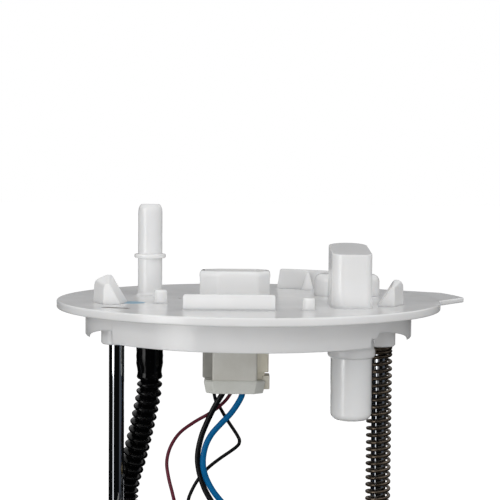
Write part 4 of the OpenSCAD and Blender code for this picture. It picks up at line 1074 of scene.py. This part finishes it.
    def outlet_tube(self) -> None:
        """The quick-connect tube, its bead, its bore and the hose nipple below."""
        profile: list[Flat] = [
            (3.0, -25.5), (3.0, 38.2), (3.08, 38.55), (3.3, 38.7), (3.65, 38.6),
            (4.0, 38.25), (4.35, 37.6), (4.6, 36.8), (4.72, 35.9), (4.745, 35.0),
            (4.745, 19.4), (5.1, 19.22), (5.85, 19.2), (6.08, 19.05), (6.15, 18.75),
            (6.15, 18.05), (5.98, 17.7), (5.6, 17.55), (5.1, 17.55), (4.745, 17.35),
            (4.745, 4.6), (4.95, 3.9), (5.4, 3.35), (6.2, 2.9),
            (6.2, -0.2), (6.2, -3.7), (5.9, -4.0), (3.8, -4.0),
            (3.8, -17.0), (4.15, -17.4), (3.8, -20.6), (3.8, -21.4), (4.15, -21.8),
            (3.8, -25.0), (3.3, -26.0), (3.0, -25.5),
        ]
        self.keep(turned("flange_outlet_tube", profile, OUTLET_AT, 72))

    def lugs(self) -> None:
        """Two wedges beside the rim, low in front and tall behind."""
        right_front = [
            (46.5, 0.0), (51.2, 6.8), (51.5, 7.1), (51.8, 7.2), (52.1, 7.1), (52.4, 6.9),
            (52.6, 6.3), (52.6, 0.0),
        ]
        right_back = [
            (47.5, 0.0), (52.9, 8.4), (53.5, 9.1), (54.4, 9.3), (55.4, 9.1), (56.3, 8.4),
            (56.9, 7.2), (57.2, 0.0),
        ]
        left_front = [
            (46.1, 0.0), (50.0, 7.1), (50.5, 7.4), (50.9, 7.5), (51.3, 7.4), (51.9, 6.9),
            (52.2, 6.2), (52.3, 0.0),
        ]
        left_back = [
            (44.5, 0.0), (50.2, 9.8), (51.0, 10.2), (52.5, 10.1), (55.6, 8.7), (56.5, 7.8),
            (56.9, 6.6), (57.2, 0.0),
        ]
        front_y, back_y = -30.0, -20.0
        low = self.thick - self.sunk
        for side, name, front, back in (
            (1, "right", right_front, right_back), (-1, "left", left_front, left_back),
        ):
            faces = ((front_y, front), (back_y, back))
            rings = [[(side * x, y, low + z) for x, z in face] for y, face in faces]
            piece = loft(f"flange_lug_{name}", rings)
            round_edges(
                piece, lambda a, b: a.z + b.z > 7 and max(a.y, b.y) < front_y + 0.1, 0.45
            )
            self.keep(piece)

    def guard_wall(self) -> None:
        """The straight wall in front of the socket, its two upper corners rounded."""
        length, wall, height = 32.0, 2.0, 5.7
        x, y = -6.7, -48.0
        low = self.thick - self.sunk
        rings = []
        for off, g in ((-1.0, 0.35), (-0.9, 0.1), (-0.65, 0.0), (0.65, 0.0), (0.9, 0.1), (1.0, 0.35)):
            face = rounded(length - 2 * g, 2 * (height - g), 0.85 - g, (x, low), 4)
            rings.append([(px, y + off, max(pz, low)) for px, pz in face])
        self.keep(loft("flange_guard_wall", rings))
        foot = [
            [(px, py, self.thick + z) for px, py in rounded(length + g, wall + g, 0.5, (x, y))]
            for z, g in ((-0.1, 0.9), (0.2, 0.4), (0.5, 0.02))
        ]
        self.keep(loft("flange_guard_foot", foot))

    def socket_walls(self) -> None:
        """The eight-sided socket with its lip, rounded over at the top."""
        low, high = self.thick - self.sunk, self.thick + 10.8
        middle = self.socket[0] - 0.2
        # Height, width, depth and how far the corner cuts run, up outside and down inside
        levels = (
            (low, 26.9, 16.8, 7.2, 4.2), (high - 3.1, 26.7, 16.6, 7.2, 4.2),
            (high - 2.1, 27.1, 17.0, 7.2, 4.2), (high - 1.4, 27.1, 17.0, 7.2, 4.2),
            (high - 0.7, 26.8, 16.7, 7.1, 4.15), (high - 0.2, 26.0, 16.0, 6.9, 4.0),
            (high, 25.0, 15.3, 6.7, 3.9), (high, 23.3, 13.6, 6.5, 3.7),
            (high - 1.2, 22.9, 13.2, 6.5, 3.7), (self.thick + 0.05, 22.7, 13.0, 6.5, 3.7),
        )
        rings = []
        for z, width, depth, cut_x, cut_y in levels:
            plan = chamfered(width, depth, cut_x, cut_y, (middle, self.socket[1]))
            # The two right corner cuts run less far along the front and back
            rings.append([(x + (2.6 if 0 < x - middle < 7 else 0), y, z) for x, y in plan])
        piece = loft("flange_socket", rings)
        corner = Vector(self.socket)
        round_edges(
            piece,
            lambda a, b: abs(a.z - b.z) > 0.05 and (a.to_2d() - corner).length > 9.5,
            0.9,
            4,
        )
        self.keep(piece)

    def posts(self) -> None:
        """Two short posts and the cone that leans on the curved wall."""
        top = self.thick
        for name, centre, radius, height, edge in (
            ("left", (-32.3, -21.8), 2.4, 4.9, 0.9), ("right", (21.0, -45.0), 2.15, 4.4, 0.6),
        ):
            profile: list[Flat] = [(radius + 0.9, top - self.sunk)]
            profile += arc((radius + 0.8, top + 0.8), 0.8, -90, -180, 4)
            profile += arc((radius - edge, top + height - edge), edge, 0, 90, 4)
            profile.append((0.2, top + height))
            self.keep(turned(f"flange_post_{name}", profile, centre, 40))
        cone = [(3.3, 2.9), (2.8, 3.3), (2.45, 4.0), (0.75, 9.6), (0.55, 10.2), (0.25, 10.4)]
        self.keep(turned("flange_cone", cone, (24.5, 41.0), 32))

    def curved_wall(self) -> None:
        """The wall near the back edge, with one end that leans in."""
        start, end, steps = 46.0, 76.5, 28
        plan = arc((0, 0), 52.0, start, end, steps) + arc((0, 0), 50.0, end, start, steps)
        piece = block("flange_curved_wall", plan, self.thick - self.sunk, self.thick + 8.2)
        angle = math.radians(76.2)
        foot = (*polar(51.0, 76.2), self.thick)
        trim(piece, foot, (-math.sin(angle), math.cos(angle), 0.16))
        round_edges(piece, above(self.thick + 8.1), 0.4)
        self.keep(piece)

    def dome(self) -> None:
        """The tall vent block: flat front, round back and a roof that rises to the back."""
        x, front, width, height = 36.75, -38.0, 14.3, 19.1
        half = width / 2
        back = front + 30.3 - half
        left, right = 5.0, 3.0
        plan = arc((x, back), half, 0, 180, 24)
        plan += arc((x - half + left, front + left), left, 180, 270, 12)
        plan += arc((x + half - right, front + right), right, 270, 360, 7)
        flare = [(x + (px - x) * 1.04, back + (py - back) * 1.03) for px, py in plan]
        low = self.thick
        stages = ((flare, low - self.sunk), (plan, low + 0.7), (plan, low + 26.0))
        piece = loft("flange_dome", [[(px, py, z) for px, py in ring] for ring, z in stages])
        slope = math.radians(5.6)
        trim(piece, (x, front, low + height), (0.0, -math.sin(slope), math.cos(slope)))
        round_edges(piece, above(low + height - 0.5), 0.25)
        self.keep(piece)

    def blister(self) -> None:
        """The low housing behind the dome, with a rounded top edge."""
        radius, high = 7.0, self.thick + 8.6
        plan = arc((45.0, 17.0), radius, -90, 90, 20) + arc((33.0, 17.0), radius, 90, 270, 20)
        piece = block("flange_blister", plan, self.thick - self.sunk, high)
        round_edges(piece, above(high - 0.6), 3.0, 7)
        self.keep(piece)

    def underside(self) -> None:
        """The plug's collar, the valve's collar and the ribs below the disc."""
        # Height, width, depth and corner radius, down outside and up inside
        levels = (
            (0.2, 28.8, 17.5, 2.5), (-7.7, 28.8, 17.5, 2.5), (-8.0, 28.2, 16.9, 2.2),
            (-8.0, 26.2, 14.9, 1.2), (-7.7, 25.6, 14.3, 1.0), (-0.1, 25.6, 14.3, 1.0),
        )
        rings = [[(x, y, z) for x, y in rounded(w, d, r, PLUG_AT, 6)] for z, w, d, r in levels]
        self.keep(loft("flange_plug_collar", rings))
        collar = [
            (7.57, -0.1), (7.57, -15.9), (7.9, -15.9), (8.4, -15.6), (8.7, -15.0), (8.7, -13.6),
            (8.5, -12.9), (8.2, -12.5), (8.2, -1.0), (9.0, 0.2), (7.57, 0.2), (7.57, -0.1),
        ]
        self.keep(turned("flange_valve_collar", collar, VALVE_AT, 72))
        for number, angle in enumerate((60, 120, 240, 285)):
            rib = block(f"flange_rib_{number}", rounded(46.6, 1.6, 0.3, (37.6, 0)), -4.0, 0.2)
            turn_and_move(rib, angle)
            self.keep(rib)

    def paint_dot(self) -> None:
        """The round dab of blue paint on the disc."""
        profile = [(0.2, 3.07), (3.9, 3.06), (4.4, 3.04), (4.5, 2.98)]
        self.keep(turned("flange_paint_dot", profile, (-42.4, -21.8), 48), BLUE_PAINT)


@dataclass
class HarnessPlug:
    """The plug below the socket: front block, shoulders, latch and terminal lock."""

    width: float = 25.3
    depth: float = 14.0
    low: float = -33.0
    lock: float = 5.0

    def build(self) -> None:
        """Models the plug and puts it in place of its two solids."""
        x, floor, step = PLUG_AT[0], self.low + self.lock, -8.9
        # Name, size, corner radius, place, lowest and highest point, edge radius and finish
        blocks = (
            ("head", self.width, self.depth, 1.0, PLUG_AT, -9, -2, 0, NYLON),
            ("front", 17.2, 14.0, 0.9, (x - 0.25, 0), floor, step, 0.3, NYLON),
            # The left side and neck take the grey copy of the nylon: painted shade
            ("left", 5.2, 9.0, 0.8, (-14.8, 0), floor + 0.7, step, 0.5, NYLON_PAINTED_SHADE),
            ("neck", 4.4, 8.0, 0.4, (-14.4, 0), floor, floor + 1.0, 0, NYLON_PAINTED_SHADE),
            # The right part, web, stem, latch and slit take the lighter copy of the nylon: painted
            # light
            ("right", 6.2, 10.0, 0.6, (4.75, 0), floor + 3.1, step, 0.3, NYLON_RIGHT_PAINTED_LIGHT),
            ("web", 4.6, 6.0, 0.2, (4.1, 0), floor, floor + 3.5, 0, NYLON_RIGHT_PAINTED_LIGHT),
            ("stem", 1.0, 5.8, 0.2, (6.1, 0), self.low + 1.9, floor + 1, 0, NYLON_RIGHT_PAINTED_LIGHT),
            ("latch", 2.9, 7.0, 0.5, (6.85, 0), -31.7, -26.4, 0.4, NYLON_RIGHT_PAINTED_LIGHT),
            ("slit", 0.9, 0.6, 0.1, (3.2, -4.95), floor + 4.5, -9.5, 0, NYLON_RIGHT_PAINTED_LIGHT),
        )
        for name, width, depth, radius, centre, low, high, edge, finish in blocks:
            piece = block(f"plug_{name}", rounded(width, depth, radius, centre), low, high)
            if edge:
                round_edges(piece, level if name == "latch" else below(low + 0.01), edge)
            dress(piece, finish, Body.FLANGE)
        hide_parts("harness_plug")
        self.terminal_lock()

    def terminal_lock(self) -> None:
        """The lock across the wire end, with bevelled sides and a stepped rim."""
        top = self.low + self.lock
        middle = (PLUG_AT[0] - 0.3, 0.0)
        levels = (
            (top, 22.6, 13.9), (top - 0.5, 23.4, 14.6), (top - 1.2, 23.4, 14.6),
            (self.low + 0.3, 21.9, 14.6), (self.low, 21.4, 14.1),
        )
        rings = [[(x, y, z) for x, y in chamfered(w, d, 3.4, 2.6, middle)] for z, w, d in levels]
        piece = loft("plug_lock_body", rings)
        round_edges(piece, lambda a, b: abs(a.z - b.z) > 0.4, 0.35)
        # The lock takes the lighter copy of the nylon: painted light
        dress(piece, NYLON_LOCK_PAINTED_LIGHT, Body.FLANGE)
        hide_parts("plug_lock")


@dataclass
class VentValve:
    """The translucent housing of the vent valve."""

    radius: float = 7.55
    wall: float = 1.2
    low: float = -38.8
    floor: float = 1.5
    hole: float = 1.2

    def build(self) -> None:
        """Models the housing and puts it in place of its solid."""
        top, edge = -2.1, 2.5
        inner, floor = self.radius - self.wall, self.low + self.floor
        profile: list[Flat] = [(self.hole, self.low), (5.0, self.low)]
        profile += arc((self.radius - edge, self.low + edge), edge, -80, 0, 7)
        profile += [
            (self.radius, top), (inner, top), (inner, self.low + 3.2), (inner - 1.6, floor),
            (self.hole, floor), (self.hole, self.low),
        ]
        piece = turned("valve_shell", profile, VALVE_AT, 96)
        # The housing's finish is painted a touch whiter: painted light
        dress(piece, ACETAL_THIN_PAINTED_LIGHT, Body.FLANGE)
        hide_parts("valve_housing")


# Swept pieces


def smooth_route(points: Sequence[Spot], steps: int) -> list[Vector]:
    """A smooth curve through a route's points.

    Args:
        points: The route in millimetres.
        steps: Stretches between two points.

    Returns:
        The curve's points in millimetres.
    """
    p = [Vector(q) for q in points]
    found: list[Vector] = []
    for i in range(len(p) - 1):
        a, b, c, d = p[max(i - 1, 0)], p[i], p[i + 1], p[min(i + 2, len(p) - 1)]
        for k in range(steps):
            t = k / steps
            near = 2 * b + (c - a) * t + (2 * a - 5 * b + 4 * c - d) * t * t
            found.append(0.5 * (near + (3 * b - a - 3 * c + d) * t**3))
    return [*found, p[-1]]


def sweep(name: str, path: Sequence[Vector], radii: Sequence[float], sides: int) -> Piece:
    """Sweeps a circle along a path, carrying its frame along without twist.

    Args:
        name: The piece's name.
        path: The path in millimetres.
        radii: The radius at each point.
        sides: Number of sides.

    Returns:
        The piece, closed at both ends.
    """
    end = len(path) - 1
    ahead = [(path[min(i + 1, end)] - path[max(i - 1, 0)]).normalized() for i in range(end + 1)]
    across = ahead[0].orthogonal().normalized()
    verts: list[Vector] = []
    for i, (centre, radius) in enumerate(zip(path, radii)):
        if i:
            across = ahead[i - 1].rotation_difference(ahead[i]) @ across
        up = ahead[i].cross(across)
        for k in range(sides):
            turn = 2 * math.pi * k / sides
            verts.append((centre + radius * (math.cos(turn) * across + math.sin(turn) * up)) * MM)
    last = end * sides
    faces = [
        (i + k, i + (k + 1) % sides, i + sides + (k + 1) % sides, i + sides + k)
        for i in range(0, last, sides)
        for k in range(sides)
    ]
    faces += [tuple(reversed(range(sides))), tuple(range(last, last + sides))]
    return add_mesh(name, verts, faces)


@dataclass
class CoilSpring:
    """A round-wire compression spring about a vertical axis, with closed ends."""

    node: str
    centre: Flat
    mean_radius: float
    wire_radius: float
    low: float
    high: float
    open_turns: int
    closed_turns: int
    finish: Finish
    body: Body | None
    steps: int = 16
    sides: int = 6

    def height(self, turn: float) -> float:
        """Works out how high the wire's middle lies.

        Args:
            turn: Turns from the lower end.

        Returns:
            The height in millimetres.
        """
        closed = self.wire_radius * 2.06
        low, high = self.low + self.wire_radius, self.high - self.wire_radius
        if turn < self.closed_turns:
            return low + turn * closed
        turns = self.open_turns + 2 * self.closed_turns
        if turn > turns - self.closed_turns:
            return high - (turns - turn) * closed
        rise = (high - low - 2 * self.closed_turns * closed) / self.open_turns
        return low + self.closed_turns * closed + (turn - self.closed_turns) * rise

    def build(self) -> Piece:
        """Sweeps the wire, dresses it and puts it in place of its solid.

        Returns:
            The coil.
        """
        turns = self.open_turns + 2 * self.closed_turns
        count = turns * self.steps
        path = []
        for i in range(count + 1):
            turn = turns * i / count
            angle = 2 * math.pi * turn
            x = self.centre[0] + self.mean_radius * math.cos(angle)
            y = self.centre[1] + self.mean_radius * math.sin(angle)
            path.append(Vector((x, y, self.height(turn))))
        piece = sweep(f"{self.node}_coil", path, [self.wire_radius] * len(path), self.sides)
        dress(piece, self.finish, self.body, 60)
        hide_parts(self.node)
        return piece


class Springs:
    """The coil springs that are seen or that give: main, vent and check."""

    def build(self) -> None:
        """Models the springs."""
        main = CoilSpring(
            "main_spring", SPRUNG_ROD_AT, 4.32, 0.65, -97.0, -15.5, 27, 2,
            SPRING_WIRE, Body.FLANGE, 28, 10,
        )
        shorten(main.build())
        vent = CoilSpring(
            "vent_spring", VALVE_AT, 2.6, 0.25, -37.3, -25.3, 5, 1, BRIGHT_WIRE, None
        )
        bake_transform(vent.build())
        check = CoilSpring(
            "check_spring", (-3.0, 16.0), 1.5, 0.2, -105.38, -97.2, 5, 1,
            BRIGHT_WIRE, Body.RESERVOIR,
        )
        shorten(check.build())


@dataclass
class Hose:
    """The corrugated tube from the flange's nipple down to the pump's manifold.

    The upper cuff is given as height and radius, the lower one as X and radius.
    """

    crest: float = 5.05
    root: float = 3.45
    pitch: float = 3.27
    crest_shape: float = 1.1
    steps: int = 10
    bend_top: float = -28.0
    bend_low: float = -84.0
    upper_cuff: tuple[Flat, ...] = (
        (-4.6, 4.4), (-4.8, 4.9), (-5.6, 5.1), (-9, 5.15), (-13, 5.15), (-16, 5.2),
        (-18, 5.3), (-19.6, 5.2), (-21, 5.35), (-22.4, 5.22), (-23.8, 5.32), (-25.0, 5.15),
        (-26.2, 4.9), (-27.4, 4.75), (-28.2, 4.85), (-28.9, 5.05), (-29.4, 5.08),
        (-29.9, 4.8), (-30.3, 4.1), (-30.5, 3.7),
    )
    route: tuple[Spot, ...] = (
        (*OUTLET_AT, -30.7), (-39, 11.2, -35), (-40.5, 12.2, -43), (-43, 14, -54),
        (-45, 15.5, -62), (-47.3, 17, -70), (-48.6, 17.6, -77), (-48, 17.4, -82),
        (-45.3, 16.9, -87), (-40.8, 16.3, -90.8), (-35.5, 16, -92), (-31, 16, -92),
    )
    lower_cuff: tuple[Flat, ...] = (
        (-30.2, 4.6), (-29.4, 5.0), (-22, 5.0), (-13.6, 5.0), (-12.6, 4.9), (-12.0, 4.4),
    )

    def ribs(self) -> tuple[list[Vector], list[float]]:
        """Walks along the route in even steps.

        Returns:
            The points of the ribbed part in millimetres and the radius at each.
        """
        curve = smooth_route(self.route, 24)
        gone = [0.0]
        for a, b in zip(curve, curve[1:]):
            gone.append(gone[-1] + (b - a).length)
        count = round(gone[-1] / self.pitch) * self.steps
        path: list[Vector] = []
        radii: list[float] = []
        at = 0
        for i in range(count + 1):
            s = gone[-1] * i / count
            while at < len(gone) - 2 and gone[at + 1] < s:
                at += 1
            share = (s - gone[at]) / max(gone[at + 1] - gone[at], 1e-9)
            path.append(curve[at].lerp(curve[at + 1], min(max(share, 0.0), 1.0)))
            swell = abs(math.sin(math.pi * i / self.steps)) ** self.crest_shape
            radii.append(self.root + (self.crest - self.root) * swell)
        return path, radii

    def build(self) -> None:
        """Sweeps cuff, ribs and lower cuff as one tube and dresses it."""
        ribs, rib_radii = self.ribs()
        path = [Vector((*OUTLET_AT, z)) for z, _ in self.upper_cuff]
        path += ribs
        path += [Vector((x, *self.route[-1][1:])) for x, _ in self.lower_cuff]
        radii = [radius for _, radius in self.upper_cuff] + rib_radii
        radii += [radius for _, radius in self.lower_cuff]
        piece = sweep("hose_tube", path, radii, 28)
        dress(piece, HOSE_BLACK, None, 75)
        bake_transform(piece)
        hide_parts("outlet_hose")


@dataclass
class Wire:
    """One insulated wire, held in the plug at the top and in its terminal below."""

    node: str
    finish: Finish
    radius: float
    route: tuple[Spot, ...]

    def build(self) -> None:
        """Sweeps the wire, dresses it and gives it its own copy of its mesh."""
        path = smooth_route(self.route, 6)
        piece = sweep(f"{self.node}_insulation", path, [self.radius] * len(path), 16)
        dress(piece, self.finish, Body.FLANGE, 60)
        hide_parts(self.node)
        shorten(piece)


WIRES = (
    Wire("blue_wire", WIRE_BLUE, 1.15, (
        (-2, 0, -33), (-2.4, -0.2, -35), (-4, -0.6, -38), (-6.7, -1, -41.8), (-10.1, -1.5, -45.3),
        (-14, -2, -49.8), (-16.3, -2.5, -54.8), (-17, -3, -60.5), (-16, -3.4, -65.5),
        (-13.5, -4, -70.4), (-10, -4.6, -74.8), (-6, -5.2, -78.6), (-2.6, -5.2, -82),
        (-0.7, -5, -85.6), (-0.5, -5, -88.8),
    )),
    Wire("black_wire", WIRE_BLACK, 1.1, (
        (-9.6, 1.4, -33), (-10, 1.4, -34.6), (-12.6, 1.4, -39), (-15.5, 1.2, -45),
        (-17.9, 1, -51.2), (-19.2, 0.4, -58.1), (-18.7, -0.2, -64), (-16.7, -1.2, -70.2),
        (-14.2, -2.2, -74.7), (-11.2, -3.4, -78.6), (-8, -4.4, -82), (-5.8, -5, -85.6),
        (-5.5, -5, -88.8),
    )),
    Wire("maroon_wire", WIRE_MAROON, 0.68, (
        (-6.2, 3.2, -33), (-6.7, 3.3, -34.5), (-8.7, 3.6, -37.4), (-11.9, 3.9, -40.4),
        (-15.5, 4, -42.9), (-20.9, 3.6, -46), (-26.3, 2, -49.9), (-29.7, 0, -54.9),
        (-31, -2, -60.3), (-30.2, -4.2, -65.7), (-28.4, -7.2, -71.5), (-27, -10.6, -76),
        (-25.3, -16, -83), (-22.5, -22.5, -90), (-19, -31, -95.6), (-16, -38.5, -97.6),
        (-14.6, -44, -97), (-14.5, -48.8, -96.6),
    )),
    Wire("thin_black_wire", WIRE_BLACK, 0.68, (
        (-13, 5.6, -33), (-13.2, 5.8, -34.5), (-12.5, 6.4, -37.9), (-11, 6.8, -40.4),
        (-8.2, 6.8, -45.2), (-4, 6, -51.4), (-3.1, 5, -53.8), (-4.6, 4.2, -55.9),
        (-11, 3.6, -60.4), (-15.3, 3.4, -63.9), (-18.7, 2.6, -67.7), (-21.6, 1, -72.6),
        (-22.8, -2, -76.6), (-22.2, -8, -83), (-18.5, -16, -89.6), (-12.5, -26, -94.8),
        (-7.6, -36, -97.4), (-5.7, -43.5, -97), (-5.5, -48.8, -96.6),
    )),
)


def dress_nodes(nodes: dict[str, Piece]) -> None:
    """Gives every CAD node its finish.

    Args:
        nodes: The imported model's nodes by name.
    """
    for name, node in nodes.items():
        paint(node, NODE_FINISHES[name])
        LOG.info("%s: %s", name, NODE_FINISHES[name].name)


# Studio


@dataclass
class Camera:
    """The photograph's camera, in the distances that its perspective gives."""

    lens: float = 90.17
    sensor: float = 36.0
    distance: float = 480.0
    height: float = 46.25
    pitch: float = 2.944
    yaw: float = -0.044
    roll: float = 0.5

    def build(self) -> None:
        """Adds the camera and makes it the scene's."""
        data = bpy.data.cameras.new("camera")
        data.sensor_width = self.sensor
        data.lens = self.lens
        data.clip_start, data.clip_end = 0.02, 60.0
        camera = add_object("camera", data)
        camera.matrix_world = (
            Matrix.Translation(Vector((0.0, -self.distance, self.height)) * MM)
            @ Matrix.Rotation(math.radians(self.yaw), 4, "Z")
            @ Matrix.Rotation(math.radians(90 - self.pitch), 4, "X")
            @ Matrix.Rotation(math.radians(self.roll), 4, "Z")
        )
        bpy.context.scene.camera = camera


@dataclass(frozen=True)
class Lamp:
    """One softbox: place and size in metres, power in watts, and whether it is mirrored."""

    name: str
    place: Spot
    size: Flat
    power: float
    mirrored: bool = True


@dataclass(frozen=True)
class Card:
    """One card round the object: angles in degrees, nearest edge and top in metres."""

    name: str
    start: float
    end: float
    near: float
    high: float
    tone: str


CARD_TONES = {"dark": "#101010", "dim": "#565B62", "grey": "#8E8E90"}


@dataclass
class Studio:
    """Floor, surroundings, softboxes and the cards that dark metal and hose reflect."""

    floor_z: float = -192.0
    floor_tone: str = "#A8A8A8"
    floor_lift: float = 0.86
    ambient: float = 0.43
    aim: Spot = (0.0, 0.0, -0.03)
    card_reach: float = 1.5
    lamps: tuple[Lamp, ...] = (
        Lamp("softbox_left", (-0.79, -0.69, 0.15), (0.52, 0.7), 3.2),
        Lamp("softbox_right", (0.92, -0.69, 0.20), (0.6, 0.8), 0.9, False),
        Lamp("softbox_front_low", (0.05, -1.2, -0.12), (0.9, 0.3), 3.1, False),
        Lamp("softbox_high_right", (0.62, -0.62, 0.95), (1.1, 1.1), 4.8, False),
    )
    cards: tuple[Card, ...] = (
        Card("flag_left", 112, 217, 0.1, 0.5, "dark"),
        Card("flag_front", 231, 316, 0.1, 0.5, "dark"),
        Card("card_right", 316, 352, 0.1, 0.5, "dim"),
        Card("flag_right", -8, 68, 0.1, 0.5, "dark"),
        Card("card_back", 69, 111, 1.0, 0.6, "grey"),
    )

    def build(self) -> None:
        """Builds the studio."""
        self.surroundings()
        self.floor()
        for lamp in self.lamps:
            self.softbox(lamp)
        for card in self.cards:
            self.stand(card)
        bpy.context.scene.view_settings.view_transform = "Standard"

    def shown_white(self, tree: Tree) -> Socket:
        """Returns 1 for what the camera sees, directly, mirrored or through something.

        Args:
            tree: The material's or world's node tree.

        Returns:
            The value, 0 or 1.
        """
        rays = add_node(tree, "ShaderNodeLightPath").outputs
        higher = {"operation": "MAXIMUM"}
        seen = add_node(
            tree, "ShaderNodeMath", higher, {0: rays["Is Camera Ray"], 1: rays["Is Glossy Ray"]}
        )
        through = {0: seen.outputs[0], 1: rays["Is Transmission Ray"]}
        return add_node(tree, "ShaderNodeMath", higher, through).outputs[0]

    def surroundings(self) -> None:
        """Plain grey light all round, shown as white."""
        world = bpy.data.worlds.new("surroundings")
        bpy.context.scene.world = world
        tree = blank_tree(world)
        strength = add_node(
            tree, "ShaderNodeMapRange", {"To Min": self.ambient, "To Max": 1.0},
            {"Value": self.shown_white(tree)},
        ).outputs["Result"]
        light = add_node(
            tree, "ShaderNodeBackground", {"Color": srgb("#FFFFFF")}, {"Strength": strength}
        )
        add_node(tree, "ShaderNodeOutputWorld", None, {"Surface": light.outputs[0]})

    def floor(self) -> None:
        """A pale floor below the feet, which keeps the shadow."""
        clear_selection()
        bpy.ops.mesh.primitive_plane_add(size=30.0, location=(0, 0, self.floor_z * MM))
        floor = bpy.context.object
        floor.name = "floor"
        bpy.ops.object.transform_apply(location=True, rotation=True, scale=True)
        material = bpy.data.materials.new("floor pale")
        tree = blank_tree(material)
        lit = add_node(tree, "ShaderNodeBsdfDiffuse", {"Color": srgb(self.floor_tone)})
        lift = add_node(
            tree, "ShaderNodeMath", {"operation": "MULTIPLY", 1: self.floor_lift},
            {0: self.shown_white(tree)},
        )
        glow = add_node(
            tree, "ShaderNodeEmission", {"Color": srgb("#FFFFFF")}, {"Strength": lift.outputs[0]}
        )
        both = add_node(
            tree, "ShaderNodeAddShader", None, {0: lit.outputs[0], 1: glow.outputs[0]}
        )
        add_node(tree, "ShaderNodeOutputMaterial", None, {"Surface": both.outputs[0]})
        floor.data.materials.append(material)

    def softbox(self, lamp: Lamp) -> None:
        """Adds one softbox that faces the flange.

        Args:
            lamp: The softbox.
        """
        data = bpy.data.lights.new(lamp.name, "AREA")
        data.shape = "RECTANGLE"
        data.size, data.size_y = lamp.size
        data.energy = lamp.power
        light = add_object(lamp.name, data)
        light.visible_glossy = lamp.mirrored
        turn = (Vector(self.aim) - Vector(lamp.place)).to_track_quat("-Z", "Y")
        light.matrix_world = Matrix.Translation(lamp.place) @ turn.to_matrix().to_4x4()

    def stand(self, card: Card) -> None:
        """Stands one card round the object, seen only in reflections.

        Args:
            card: The card.
        """
        ground = self.floor_z * MM + 0.002
        reach = self.card_reach
        rows = [
            [Vector((x, y, z)) for x, y in arc((0, 0), radius, card.start, card.end, 12)]
            for radius, z in ((card.near, ground), (reach, ground), (reach, card.high))
        ]
        count = len(rows[0])
        faces = [
            (i, i + 1, i + 1 + count, i + count)
            for row in range(2)
            for i in range(row * count, row * count + count - 1)
        ]
        piece = add_mesh(card.name, [point for row in rows for point in row], faces)
        piece.data.materials.append(self.even_tone(card.tone))
        piece.visible_camera = False
        piece.visible_diffuse = False
        piece.visible_transmission = False
        piece.visible_shadow = False

    @staticmethod
    def even_tone(tone: str) -> bpy.types.Material:
        """Returns a card's even tone, whatever light falls on it.

        Args:
            tone: The tone's name.

        Returns:
            Its material, the same one at each call.
        """
        found = bpy.data.materials.get(f"card {tone}")
        if found:
            return found
        material = bpy.data.materials.new(f"card {tone}")
        tree = blank_tree(material)
        glow = {"Color": srgb(CARD_TONES[tone]), "Strength": 1.0}
        even = add_node(tree, "ShaderNodeEmission", glow)
        add_node(tree, "ShaderNodeOutputMaterial", None, {"Surface": even.outputs[0]})
        return material


def corners(box: tuple[Vector, Vector]) -> list[list[float]]:
    """Returns a box's two corners as plain lists."""
    return [list(corner) for corner in box]


def main() -> None:
    """Builds the module's looks in order."""
    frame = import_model()
    Camera().build()
    Hose().build()
    for wire in WIRES:
        wire.build()
    Springs().build()
    Flange().build()
    HarnessPlug().build()
    VentValve().build()
    dress_nodes(frame["nodes"])
    Studio().build()


if __name__ == "__main__":
    logging.basicConfig(level=logging.INFO, format="%(message)s")
    main()
